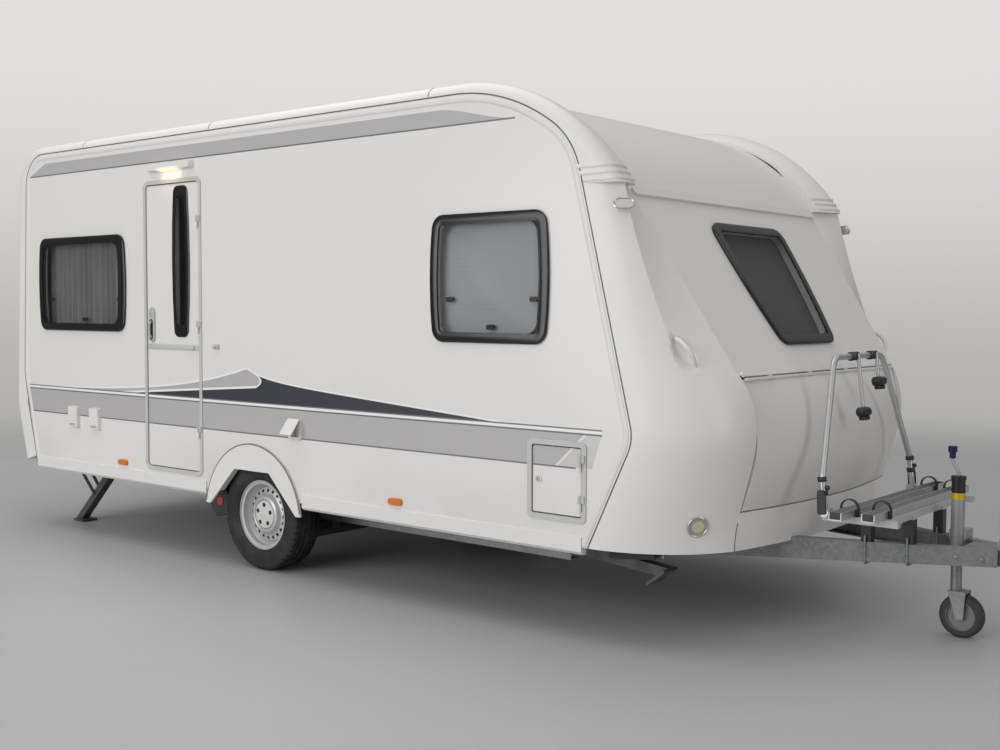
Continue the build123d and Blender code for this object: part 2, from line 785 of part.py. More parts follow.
def knuckle(sign, x, y, z, toward):
    """Half of a hinge: a barrel on the axis with a leaf that reaches the wall's face."""
    with Locations((x, y, z)):
        Cylinder(HINGE_RADIUS, KNUCKLE)
    with Locations((x + toward * HINGE_LEAF / 2, y - sign * HINGE_STAND / 2, z)):
        Box(HINGE_LEAF, HINGE_STAND, KNUCKLE)


with BuildPart() as entrance_door:
    with BuildSketch(wall_plane(-1)):
        with Locations((door_x, door_z)):
            RectangleRounded(leaf_width, leaf_height, DOOR_CORNER - DOOR_FRAME)
        with Locations((door_x + DOOR_PANE_AHEAD, DOOR_PANE_Z)):
            RectangleRounded(
                DOOR_PANE_WIDTH - 2 * DOOR_PANE_LAP, DOOR_PANE_HEIGHT - 2 * DOOR_PANE_LAP, 24.0,
                mode=Mode.SUBTRACT,
            )
    extrude(amount=-WALL)
    for z in door_hinge_levels:
        knuckle(-1, hinge_x, hinge_y, z - KNUCKLE / 2 - SEAT, -1)
save(entrance_door, "entrance_door")

with BuildPart() as door_pane:
    with BuildSketch(wall_plane(-1)):
        with Locations((door_x + DOOR_PANE_AHEAD, DOOR_PANE_Z)):
            RectangleRounded(DOOR_PANE_WIDTH, DOOR_PANE_HEIGHT, 44.0)
    extrude(amount=PANE)
save(door_pane, "door_pane")

with BuildPart() as door_handle:
    with BuildSketch(wall_plane(-1)):
        with Locations((door_x - leaf_width / 2 + HANDLE_IN, HANDLE_Z)):
            RectangleRounded(58.0, 212.0, 14.0)
    extrude(amount=8.0)
    with BuildSketch(wall_plane(-1, 8.0)):
        with Locations((door_x - leaf_width / 2 + HANDLE_IN, HANDLE_Z + 20.0)):
            RectangleRounded(34.0, 150.0, 12.0)
    extrude(amount=26.0, taper=12.0)
save(door_handle, "door_handle")

# Door frames in the walls, and service doors hinged on the edge towards the front
hatch_leaf_width = HATCH_WIDTH - 2 * (HATCH_FRAME + RUN_GAP)
hatch_leaf_height = HATCH_HEIGHT - 2 * (HATCH_FRAME + RUN_GAP)
with BuildPart() as door_frames:
    with BuildSketch(wall_plane(-1, FRAME_PROUD)):
        with Locations((door_x, door_z)):
            RectangleRounded(DOOR_WIDTH, DOOR_HEIGHT, DOOR_CORNER)
            RectangleRounded(
                DOOR_WIDTH - 2 * DOOR_FRAME, DOOR_HEIGHT - 2 * DOOR_FRAME, DOOR_CORNER - DOOR_FRAME + 6.0,
                mode=Mode.SUBTRACT,
            )
    extrude(amount=-(WALL + FRAME_PROUD))
    for z in door_hinge_levels:
        knuckle(-1, hinge_x, hinge_y, z + KNUCKLE / 2 + SEAT, 1)
    for sign, x, z in hatches:
        with BuildSketch(wall_plane(sign, FRAME_PROUD)):
            with Locations(on_wall(sign, x, z)):
                RectangleRounded(HATCH_WIDTH, HATCH_HEIGHT, HATCH_CORNER)
                RectangleRounded(
                    HATCH_WIDTH - 2 * HATCH_FRAME, HATCH_HEIGHT - 2 * HATCH_FRAME, 10.0, mode=Mode.SUBTRACT
                )
        extrude(amount=-(WALL + FRAME_PROUD))
        for level in hatch_hinge_levels:
            hinge = x + hatch_leaf_width / 2 + RUN_GAP / 2
            knuckle(sign, hinge, sign * (side + HINGE_STAND), z + level + KNUCKLE / 2 + SEAT, 1)
save(door_frames, "door_frames")

for (sign, x, z), name in zip(hatches, ("service_door_right", "service_door_left")):
    with BuildPart() as leaf:
        with BuildSketch(wall_plane(sign)):
            with Locations(on_wall(sign, x, z)):
                RectangleRounded(hatch_leaf_width, hatch_leaf_height, 8.0)
        extrude(amount=-WALL)
        with BuildSketch(wall_plane(sign)):
            with Locations(on_wall(sign, x - hatch_leaf_width / 2 + 34.0, z)):
                Circle(17.0)
        extrude(amount=5.0)
        for level in hatch_hinge_levels:
            hinge = x + hatch_leaf_width / 2 + RUN_GAP / 2
            knuckle(sign, hinge, sign * (side + HINGE_STAND), z + level - KNUCKLE / 2 - SEAT, -1)
    save(leaf, name)

# Mains inlet in the right wall with its open flap, and two small awning sockets behind
with BuildPart() as wall_sockets:
    with BuildSketch(wall_plane(-1)):
        with Locations((socket_x, SOCKET_Z)):
            RectangleRounded(SOCKET_WIDTH + 14.0, SOCKET_HEIGHT + 14.0, 8.0)
    extrude(amount=SOCKET_PROUD)
    with BuildSketch(wall_plane(-1)):
        with Locations((socket_x, SOCKET_Z)):
            Rectangle(SOCKET_WIDTH, SOCKET_HEIGHT)
    extrude(amount=-WALL)
    with BuildSketch(wall_plane(-1, SOCKET_PROUD)):
        with Locations((socket_x, SOCKET_Z)):
            RectangleRounded(SOCKET_WIDTH - 12.0, SOCKET_HEIGHT - 12.0, 8.0)
    extrude(amount=-(WALL + SOCKET_PROUD - 8.0), mode=Mode.SUBTRACT)
    for x in awning_sockets:
        with BuildSketch(wall_plane(-1)):
            with Locations((x, AWNING_SOCKET_Z)):
                RectangleRounded(108.0, 140.0, 10.0)
        extrude(amount=24.0, taper=8.0)
save(wall_sockets, "wall_sockets")

flap_pivot = (-(side + SOCKET_PROUD + FLAP_PIN), SOCKET_Z + SOCKET_HEIGHT / 2 + 7.0)
open_turn = math.radians(FLAP_OPEN)
flap_plane = Plane(
    origin=(socket_x, *flap_pivot), x_dir=(1, 0, 0), z_dir=(0, -math.cos(open_turn), math.sin(open_turn))
)
with BuildPart() as socket_flap:
    with BuildSketch(flap_plane):
        with Locations((0, -SOCKET_HEIGHT / 2 - 2.0)):
            RectangleRounded(SOCKET_WIDTH + 10.0, SOCKET_HEIGHT + 4.0, 8.0)
    extrude(amount=FLAP)
    with Locations(Location((socket_x, *flap_pivot), (0, 90, 0))):
        Cylinder(FLAP_PIN - SEAT, SOCKET_WIDTH - 10.0)
save(socket_flap, "socket_flap")

# Lamps: long awning lamp over the door, amber side markers, clear front lamps, rear clusters
with BuildPart() as awning_lamp:
    with BuildSketch(wall_plane(-1)):
        with Locations((door_x, AWNING_LAMP_Z)):
            RectangleRounded(441.0, 58.0, 20.0)
    extrude(amount=34.0, taper=14.0)
save(awning_lamp, "awning_lamp")

with BuildPart() as side_markers:
    for sign in (-1, 1):
        for x in (from_rear(1309), from_nose(1887)):
            with BuildSketch(wall_plane(sign)):
                with Locations(on_wall(sign, x, SIDE_MARKER_Z)):
                    SlotOverall(96.0, 38.0)
            extrude(amount=16.0, taper=12.0)
save(side_markers, "side_markers")

# Front lamps on the corner mouldings: oval end-outline lamp at the top, round position lamp at the foot
right_corner = front_corner_mouldings.part.solids().sort_by(Axis.Y)[0]
marker_plane = Plane((from_nose(550), -1118.0, 1938.0), x_dir=(-0.83, -0.49, 0), z_dir=(0.49, -0.83, 0.28))
position_plane = Plane((from_nose(263), -962.0, 557.0), z_dir=(0.74, -0.61, -0.28))
with BuildPart() as marker_lamps:
    with BuildSketch(marker_plane.offset(-LAMP_ROOT)):
        SlotOverall(MARKER_LENGTH, MARKER_HEIGHT)
    extrude(amount=LAMP_ROOT + LAMP_PROUD)
    add(right_corner, mode=Mode.SUBTRACT)
    mirror(about=Plane.XZ)

with BuildPart() as front_lamps:
    with BuildSketch(position_plane.offset(-LAMP_ROOT)):
        Circle(POSITION_RADIUS)
    extrude(amount=LAMP_ROOT + LAMP_PROUD)
    add(right_corner, mode=Mode.SUBTRACT)
    mirror(about=Plane.XZ)
    add(marker_lamps.part)
save(front_lamps, "front_lamps")

# Grab handles on the front corners: three points of the bar, root to root
with BuildPart() as grab_handles:
    with BuildLine() as bar:
        ThreePointArc(
            (from_nose(340), -1030.0, 1363.0), (from_nose(268), -1044.0, 1319.0),
            (from_nose(258), -1002.0, 1245.0),
        )
    with BuildSketch(Plane(bar.line @ 0, z_dir=bar.line % 0)):
        Circle(GRAB_RADIUS)
    sweep(path=bar.line)
    add(right_corner, mode=Mode.SUBTRACT)
    mirror(about=Plane.XZ)
save(grab_handles, "grab_handles")

# Rear lamp clusters on the rear wall, bumper on its tucked-in foot and blank plate panel above it
rear_down = (REAR_LAMP_Z - REAR_WINDOW_Z) / math.cos(lean)
with BuildPart() as rear_lamps:
    for sign in (-1, 1):
        with BuildSketch(rear_plane):
            with Locations((sign * 790.0, rear_down)):
                RectangleRounded(150.0, 230.0, 24.0)
        extrude(amount=34.0, taper=10.0)
save(rear_lamps, "rear_lamps")

tuck_foot, tuck_top = Vector(*skin_points[4]), Vector(*skin_points[3])
tuck_way = (tuck_top - tuck_foot).normalized()
bumper_place = tuck_foot + tuck_way * BUMPER_UP
tuck_plane = Plane(
    (bumper_place.X, 0, bumper_place.Y), x_dir=(0, -1, 0), z_dir=(-tuck_way.Y, 0, tuck_way.X)
)
with BuildPart() as rear_bumper:
    with BuildSketch(tuck_plane):
        RectangleRounded(2 * rim_inner - 40.0, 130.0, 30.0)
    extrude(amount=40.0, taper=8.0)
    with BuildSketch(rear_plane):
        with Locations((0, rear_down)):
            RectangleRounded(620.0, 190.0, 20.0)
    extrude(amount=14.0, taper=10.0)
save(rear_bumper, "rear_bumper")

# Refrigerator vents in the left wall: framed grilles with slats
with BuildPart() as fridge_vents:
    for z in vent_levels:
        with BuildSketch(wall_plane(1)):
            with Locations(on_wall(1, vent_x, z)):
                RectangleRounded(VENT_WIDTH, VENT_HEIGHT, 14.0)
        extrude(amount=16.0, taper=10.0)
        with BuildSketch(wall_plane(1, 16.0)):
            with Locations(on_wall(1, vent_x, z)):
                with GridLocations(0, VENT_PITCH, 1, VENT_SLATS):
                    Rectangle(VENT_WIDTH - 60.0, VENT_PITCH / 2)
        extrude(amount=-10.0, mode=Mode.SUBTRACT)
save(fridge_vents, "fridge_vents")

# Chassis: C-section rails under the floor, tapered drawbar arms that run forward to the coupling
arm_turn = math.radians(ARM_ANGLE)
arm_nose = Vector(x_tip - ARM_SHORT, -ARM_NOSE_Y)
arm_length = ARM_RUN / math.cos(arm_turn)
arm_root = arm_nose - Vector(math.cos(arm_turn), math.sin(arm_turn)) * arm_length
arm_plane = Plane(
    origin=(arm_root.X, arm_root.Y, FLOOR_Z),
    x_dir=(math.cos(arm_turn), math.sin(arm_turn), 0),
    z_dir=(math.sin(arm_turn), -math.cos(arm_turn), 0),
)
arm_end = Plane.YZ.offset(arm_root.X)


def arm_outline(edge):
    """Side view of a drawbar arm in its own plane, moved in by edge at the top and foot."""
    with BuildSketch() as outline:
        with BuildLine():
            Polyline(
                (0, -edge), (arm_length, -edge), (arm_length, edge - ARM_FRONT_HEIGHT),
                (0, edge - ARM_REAR_HEIGHT), close=True,
            )
        make_face()
    return outline.sketch


arm_faces = arm_outline(0.0), arm_outline(STEEL)
with BuildPart() as arm_blocks:
    with BuildSketch(arm_plane):
        add(arm_faces[0])
    extrude(amount=-ARM_WIDTH)
    split(bisect_by=arm_end, keep=Keep.TOP)
    mirror(about=Plane.XZ)

with BuildPart() as drawbar_arms:
    with BuildSketch(arm_plane):
        add(arm_faces[0])
    extrude(amount=-ARM_WIDTH)
    with BuildSketch(arm_plane.offset(-ARM_WIDTH)):
        add(arm_faces[1])
    extrude(amount=ARM_WIDTH - STEEL, mode=Mode.SUBTRACT)
    split(bisect_by=arm_end, keep=Keep.TOP)
    mirror(about=Plane.XZ)
save(drawbar_arms, "drawbar_arms")

rail_start = x_axle - RAIL_BEHIND
rail_foot = FLOOR_Z - RAIL_HEIGHT


def rail_outline(edge):
    """Side view of a chassis rail with its slanted rear end, moved in by edge at the top and foot."""
    with BuildSketch() as outline:
        with BuildLine():
            Polyline(
                (rail_start, FLOOR_Z - edge), (arm_root.X, FLOOR_Z - edge), (arm_root.X, rail_foot + edge),
                (rail_start + RAIL_TAPER, rail_foot + edge), (rail_start, FLOOR_Z - RAIL_END + edge),
                close=True,
            )
        make_face()
    return outline.sketch


rail_faces = rail_outline(0.0), rail_outline(STEEL)
rail_plane = Plane.XZ.offset(RAIL_Y)
rail_gap = RAIL_Y - RAIL_FLANGE
with BuildPart() as chassis_frame:
    with BuildSketch(rail_plane):
        add(rail_faces[0])
    extrude(amount=-RAIL_FLANGE)
    with BuildSketch(rail_plane.offset(-RAIL_FLANGE)):
        add(rail_faces[1])
    extrude(amount=RAIL_FLANGE - STEEL, mode=Mode.SUBTRACT)
    mirror(about=Plane.XZ)
    for front in (rail_start + RAIL_TAPER + CROSS_WIDTH, arm_root.X):
        with BuildSketch(Plane.XZ.offset(rail_gap)):
            with Locations((front - CROSS_WIDTH / 2, FLOOR_Z - CROSS_HEIGHT / 2)):
                Rectangle(CROSS_WIDTH, CROSS_HEIGHT)
                Rectangle(CROSS_WIDTH - 2 * STEEL, CROSS_HEIGHT - 2 * STEEL, mode=Mode.SUBTRACT)
        extrude(amount=-2 * rail_gap)
save(chassis_frame, "chassis_frame")

# Apron under the lid: height, edge behind the nose, half width, bow in the middle
apron_table = (
    (WALL_FOOT_Z, APRON_FOOT_BACK, LID_FOOT_HALF, 92.0),
    (LID_FOOT_Z, LID_FOOT_BACK, LID_FOOT_HALF, 85.0),
)
apron_sections = [bowed_section(z, back, half, bow, SHELL) for z, back, half, bow in apron_table]
with BuildPart() as front_apron:
    loft(apron_sections)
    add(arm_blocks.part, mode=Mode.SUBTRACT)
save(front_apron, "front_apron")

# Axle: six-sided tube under the rails, swinging links, stub axles and brake drums
axle_x = x_axle + AXLE_AHEAD
swing_outer = tyre_outer - TYRE_WIDTH - SWING_CLEAR
swing_turn = math.degrees(math.atan2(TYRE_RADIUS - AXLE_Z, -AXLE_AHEAD))
swing_length = math.hypot(TYRE_RADIUS - AXLE_Z, AXLE_AHEAD)
swing_middle = ((axle_x + x_axle) / 2, (AXLE_Z + TYRE_RADIUS) / 2)
stub_length = wheel_y + HUB_BORE - SEAT - swing_outer
with BuildPart() as axle:
    with BuildSketch(Plane.XZ.offset(swing_outer - SWING)):
        with Locations((axle_x, AXLE_Z)):
            RegularPolygon(AXLE_RADIUS, 6)
    extrude(amount=-2 * (swing_outer - SWING))
    for sign in (-1, 1):
        with Locations((axle_x, sign * (RAIL_Y - RAIL_FLANGE / 2), rail_foot)):
            Box(
                3 * AXLE_RADIUS, RAIL_FLANGE, rail_foot - AXLE_Z,
                align=(Align.CENTER, Align.CENTER, Align.MAX),
            )
        with BuildSketch(Plane.XZ.offset(-sign * swing_outer)):
            with Locations(swing_middle):
                SlotCenterToCenter(swing_length, 2 * SWING_RADIUS, rotation=swing_turn)
        extrude(amount=sign * SWING)
        with BuildSketch(Plane.XZ.offset(-sign * swing_outer)):
            with Locations((x_axle, TYRE_RADIUS)):
                Circle(STUB_RADIUS)
        extrude(amount=-sign * stub_length)
        with BuildSketch(Plane.XZ.offset(-sign * swing_outer)):
            with Locations((x_axle, TYRE_RADIUS)):
                Circle(DRUM_RADIUS)
                Circle(HUB_RADIUS + 2 * RUN_GAP, mode=Mode.SUBTRACT)
        extrude(amount=-sign * DRUM_WIDTH)
save(axle, "axle")

# Wheels: rolled rim with a pressed disc and a ring of round vents; sections as (outwards, radius)
rim_section = (
    (-RIM_HALF, FLANGE_RADIUS), (-BEAD_HALF - 3, FLANGE_RADIUS), (-BEAD_HALF, RIM_SEAT_RADIUS + 2),
    (-40, RIM_SEAT_RADIUS), (-25, WELL_RADIUS), (15, WELL_RADIUS), (40, RIM_SEAT_RADIUS),
    (BEAD_HALF, RIM_SEAT_RADIUS + 2), (BEAD_HALF + 3, FLANGE_RADIUS), (RIM_HALF, FLANGE_RADIUS),
)
disc_section = (
    (10, WELL_RADIUS - 3), (30, 149), (38, 136), (33, 120), (20, 98), (17, 64), (24, 60), (28, 40), (28, 0),
    (HUB_BORE, 0), (HUB_BORE, STUB_RADIUS + SEAT), (-38, STUB_RADIUS + SEAT), (-38, HUB_RADIUS),
    (6, HUB_RADIUS), (8, 70), (11, 100), (24, 124), (27, 134), (22, 141), (2, 151), (2, WELL_RADIUS - 3),
)
rim_lining = [(w, radius - RIM_STEEL) for w, radius in reversed(rim_section)]
tyre_base = RIM_SEAT_RADIUS + 2 + SEAT
tyre_half = TYRE_WIDTH / 2
for sign, side_name in ((-1, "right"), (1, "left")):
    centre = (x_axle, sign * wheel_y, TYRE_RADIUS)
    section_plane = Plane(origin=centre, x_dir=(0, sign, 0), z_dir=(sign, 0, 0))
    face_plane = Plane(origin=centre, x_dir=(-sign, 0, 0), z_dir=(0, sign, 0))
    turning = Axis(centre, (0, 1, 0))
    with BuildPart() as wheel_rim:
        with BuildSketch(section_plane):
            with BuildLine():
                Polyline(*rim_section, *rim_lining, close=True)
            make_face()
            with BuildLine():
                Polyline(*disc_section, close=True)
            make_face()
        revolve(axis=turning)
        with BuildSketch(face_plane.offset(RIM_HALF)):
            with PolarLocations(VENT_RING, VENT_COUNT):
                Circle(VENT_RADIUS)
        extrude(amount=-RIM_HALF, mode=Mode.SUBTRACT)
    save(wheel_rim, f"wheel_rim_{side_name}")
    with BuildPart() as tyre:
        with BuildSketch(section_plane):
            with BuildLine():
                Polyline(
                    (-80, FLANGE_RADIUS + 3), (-BEAD_HALF - 3 + SEAT, FLANGE_RADIUS + SEAT),
                    (-BEAD_HALF + 2 * SEAT, tyre_base), (BEAD_HALF - 2 * SEAT, tyre_base),
                    (BEAD_HALF + 3 - SEAT, FLANGE_RADIUS + SEAT), (80, FLANGE_RADIUS + 3),
                )
                ThreePointArc((80, FLANGE_RADIUS + 3), (tyre_half, 245), (tyre_half - 7, TYRE_RADIUS - 19))
                ThreePointArc(
                    (tyre_half - 7, TYRE_RADIUS - 19), (tyre_half - 12, TYRE_RADIUS - 9),
                    (tyre_half - 22, TYRE_RADIUS - 4),
                )
                ThreePointArc(
                    (tyre_half - 22, TYRE_RADIUS - 4), (0, TYRE_RADIUS), (22 - tyre_half, TYRE_RADIUS - 4)
                )
                ThreePointArc(
                    (22 - tyre_half, TYRE_RADIUS - 4), (12 - tyre_half, TYRE_RADIUS - 9),
                    (7 - tyre_half, TYRE_RADIUS - 19),
                )
                ThreePointArc((7 - tyre_half, TYRE_RADIUS - 19), (-tyre_half, 245), (-80, FLANGE_RADIUS + 3))
            make_face()
        revolve(axis=turning)
    save(tyre, f"tyre_{side_name}")

# Overrun device: housing between the arms, sliding tube with bellows, ball coupling head and brake lever
lever_x = x_tip - HOUSING_FRONT - LEVER_BACK
with BuildPart() as overrun_housing:
    with Locations((x_tip - (HOUSING_BACK + HOUSING_FRONT) / 2, 0, FLOOR_Z - ARM_FRONT_HEIGHT / 2)):
        Box(HOUSING_BACK - HOUSING_FRONT, 2 * HOUSING_HALF, ARM_FRONT_HEIGHT)
    with BuildSketch(Plane.YZ.offset(x_tip - HOUSING_FRONT)):
        with Locations((0, HITCH_Z)):
            Circle(TUBE_RADIUS)
    extrude(amount=HOUSING_FRONT - HEAD_LENGTH + 20.0)
    add(arm_blocks.part, mode=Mode.SUBTRACT)
    with BuildSketch(Plane.XZ.offset(-20.0)):
        with BuildLine():
            Polyline(
                (lever_x - 40, FLOOR_Z), (lever_x + 60, FLOOR_Z), (lever_x + 50, FLOOR_Z + 44),
                (lever_x + 250, FLOOR_Z + 164), (lever_x + 238, FLOOR_Z + 184), (lever_x - 10, FLOOR_Z + 60),
                close=True,
            )
        make_face()
    extrude(amount=-14.0)
save(overrun_housing, "overrun_housing")

fold = BELLOWS_LENGTH / BELLOWS_FOLDS
bellows_x = x_tip - HOUSING_FRONT
bellows_points = [
    (bellows_x + index * fold / 2, HITCH_Z + BELLOWS_RADIUS - 9 * (index % 2))
    for index in range(2 * BELLOWS_FOLDS + 1)
]
with BuildPart() as coupling_bellows:
    with BuildSketch(Plane.XZ):
        with BuildLine():
            Polyline(
                (bellows_x, HITCH_Z + TUBE_RADIUS), *bellows_points,
                (bellows_x + BELLOWS_LENGTH, HITCH_Z + TUBE_RADIUS), close=True,
            )
        make_face()
    revolve(axis=Axis((0, 0, HITCH_Z), (1, 0, 0)))
save(coupling_bellows, "coupling_bellows")

head_x = x_tip - HEAD_LENGTH
ball_x = x_tip - BALL_BACK
with BuildPart() as coupling_head:
    with BuildSketch(Plane.XZ.offset(HEAD_HALF)):
        with BuildLine():
            Polyline(
                (head_x, HITCH_Z - 34), (ball_x - BALL_BACK, BALL_FOOT_Z), (ball_x, BALL_FOOT_Z),
                (ball_x + 30, HITCH_Z), (ball_x + 20, HITCH_Z + 44), (ball_x - 30, HITCH_Z + 58),
                (head_x, HITCH_Z + 40), close=True,
            )
        make_face()
    extrude(amount=-2 * HEAD_HALF)
    with Locations((ball_x, 0, BALL_FOOT_Z)):
        Cylinder(BALL_BACK, HITCH_Z + 40 - BALL_FOOT_Z, align=(Align.CENTER, Align.CENTER, Align.MIN))
    with Locations((ball_x, 0, BALL_FOOT_Z)):
        Cylinder(BALL_RADIUS, BALL_DEPTH, align=(Align.CENTER, Align.CENTER, Align.MIN), mode=Mode.SUBTRACT)
    with BuildSketch(Plane.YZ.offset(head_x)):
        with Locations((0, HITCH_Z)):
            Circle(TUBE_RADIUS)
    extrude(amount=20.0, mode=Mode.SUBTRACT)
    with BuildSketch(Plane.XZ.offset(16.0)):
        with BuildLine():
            Polyline(
                (ball_x - 20, HITCH_Z + 40), (ball_x + 10, HITCH_Z + 40), (ball_x + 4, HITCH_Z + 78),
                (head_x - 40, HITCH_Z + 128), (head_x - 46, HITCH_Z + 112), (ball_x - 26, HITCH_Z + 62),
                close=True,
            )
        make_face()
    extrude(amount=-32.0)
save(coupling_head, "coupling_head")

# Jockey wheel: outer tube clamped to the left arm, cranked spindle, swivelling fork and wheel
jockey_x = x_tip - JOCKEY_BEHIND_TIP
jockey_wheel_x = jockey_x + JOCKEY_TRAIL
crank_foot = JOCKEY_TOP_Z + 16.0
with BuildPart() as jockey_tube:
    with BuildSketch(Plane.XY.offset(JOCKEY_FOOT_Z)):
        with Locations((jockey_x, JOCKEY_Y)):
            Circle(JOCKEY_TUBE)
            Circle(JOCKEY_BORE, mode=Mode.SUBTRACT)
    extrude(amount=JOCKEY_TOP_Z - JOCKEY_FOOT_Z)
    with BuildSketch(Plane.XY.offset(JOCKEY_TOP_Z)):
        with Locations((jockey_x, JOCKEY_Y)):
            Circle(JOCKEY_TUBE + 3.0)
    extrude(amount=16.0)
    with BuildSketch(Plane.XY.offset(FLOOR_Z)):
        with Locations((jockey_x, JOCKEY_Y)):
            Rectangle(76.0, 96.0, align=(Align.CENTER, Align.MIN))
            Circle(JOCKEY_BORE, mode=Mode.SUBTRACT)
    extrude(amount=44.0)
    with BuildLine() as crank_line:
        FilletPolyline(
            (jockey_x, JOCKEY_Y, crank_foot), (jockey_x, JOCKEY_Y, crank_foot + 18),
            (jockey_x - 30, JOCKEY_Y, crank_foot + 66), (jockey_x - 30, JOCKEY_Y, crank_foot + 90),
            radius=8.0,
        )
    with BuildSketch(Plane.XY.offset(crank_foot)):
        with Locations((jockey_x, JOCKEY_Y)):
            Circle(7.0)
    sweep(path=crank_line.wires()[0])
    with BuildSketch(Plane.XY.offset(crank_foot + 80)):
        with Locations((jockey_x - 30, JOCKEY_Y)):
            Circle(14.0)
    extrude(amount=36.0)
    with BuildSketch(Plane.XY.offset(crank_foot + 108)):
        with Locations((jockey_x - 30, JOCKEY_Y)):
            Circle(20.0)
    extrude(amount=26.0)
save(jockey_tube, "jockey_tube")

fork_half = JOCKEY_WHEEL_WIDTH / 2 + RUN_GAP
with BuildPart() as jockey_fork:
    with BuildSketch(Plane.XY.offset(JOCKEY_CROWN_Z)):
        with Locations((jockey_x, JOCKEY_Y)):
            Circle(JOCKEY_STEM)
    extrude(amount=JOCKEY_TOP_Z - 40.0 - JOCKEY_CROWN_Z)
    with Locations((jockey_x + JOCKEY_TRAIL / 2, JOCKEY_Y, JOCKEY_CROWN_Z)):
        Box(
            JOCKEY_TRAIL + 50.0, 2 * fork_half + 2 * STEEL, 10.0,
            align=(Align.CENTER, Align.CENTER, Align.MAX),
        )
    for sign in (-1, 1):
        with BuildSketch(Plane.XZ.offset(-JOCKEY_Y - sign * fork_half)):
            with BuildLine():
                Polyline(
                    (jockey_x - 25, JOCKEY_CROWN_Z), (jockey_x + JOCKEY_TRAIL + 25, JOCKEY_CROWN_Z),
                    (jockey_wheel_x + 16, JOCKEY_WHEEL_RADIUS - 14),
                    (jockey_wheel_x - 16, JOCKEY_WHEEL_RADIUS - 14), close=True,
                )
            make_face()
        extrude(amount=-sign * STEEL)
    with BuildSketch(Plane.XZ.offset(-JOCKEY_Y + fork_half)):
        with Locations((jockey_wheel_x, JOCKEY_WHEEL_RADIUS)):
            Circle(JOCKEY_PIN)
    extrude(amount=-2 * fork_half)
save(jockey_fork, "jockey_fork")

jockey_half = JOCKEY_WHEEL_WIDTH / 2
with BuildPart() as jockey_wheel:
    with BuildSketch(Plane.YZ.offset(jockey_wheel_x)) as jockey_section:
        with Locations((JOCKEY_Y, JOCKEY_WHEEL_RADIUS + JOCKEY_PIN + SEAT)):
            Rectangle(
                JOCKEY_WHEEL_WIDTH, JOCKEY_WHEEL_RADIUS - JOCKEY_PIN - SEAT, align=(Align.CENTER, Align.MIN)
            )
        fillet(jockey_section.vertices().group_by(Axis.Z)[-1], 16.0)
        for sign in (-1, 1):
            with Locations((JOCKEY_Y + sign * jockey_half, JOCKEY_WHEEL_RADIUS + 42.0)):
                Rectangle(28.0, 44.0, mode=Mode.SUBTRACT)
    revolve(axis=Axis((jockey_wheel_x, 0, JOCKEY_WHEEL_RADIUS), (0, 1, 0)))
save(jockey_wheel, "jockey_wheel")

# Corner steadies: pivot, side, way that the leg points and rest angle; the strut is as long as the
# way from pivot to strut joint, so its upper end runs straight along the spindle
leg_down = math.degrees(math.asin((LEG_PIVOT_Z - PAD_TOP_Z) / LEG_LENGTH))
leg_table = (
    ("rear_right", from_rear(REAR_LEG), -1, -1, leg_down),
    ("rear_left", from_rear(REAR_LEG), 1, -1, leg_down),
    ("front_right", from_nose(FRONT_LEG), -1, 1, LEG_FOLD),
    ("front_left", from_nose(FRONT_LEG), 1, 1, LEG_FOLD),
)
leg_half = LEG_WIDTH / 2
strut_inner = leg_half + 1.0
strut_outer = strut_inner + STEEL
spindle_length = 2 * LEG_LINK + SPINDLE_OVER


def swung_plane(x, y, z, way, turn):
    """Plane of a steady's parts: local x points along the part, turned down, local y upwards."""
    angle = math.radians(turn)
    return Plane(
        origin=(x, y, z), x_dir=(way * math.cos(angle), 0, -math.sin(angle)), z_dir=(0, -way, 0)
    )


with BuildPart() as steady_frames:
    for name, x, sign, way, turn in leg_table:
        y = sign * LEG_Y
        for edge in (-1, 1):
            with Locations((x, y + edge * (leg_half + STEEL), LEG_PIVOT_Z - 22.0)):
                Box(
                    64.0, STEEL, FLOOR_Z - LEG_PIVOT_Z + 22.0,
                    align=(Align.CENTER, Align.CENTER, Align.MIN),
                )
        with Locations(Location((x, y, LEG_PIVOT_Z), (90, 0, 0))):
            Cylinder(PIVOT_PIN, LEG_WIDTH + 2 * STEEL)
        with Locations(Location((x + way * spindle_length / 2, y, LEG_PIVOT_Z), (0, 90, 0))):
            Cylinder(SPINDLE_RADIUS, spindle_length)
        with Locations((x + way * spindle_length, y, LEG_PIVOT_Z)):
            Box(8.0, LEG_WIDTH, FLOOR_Z - LEG_PIVOT_Z, align=(Align.CENTER, Align.CENTER, Align.MIN))
save(steady_frames, "steady_frames")

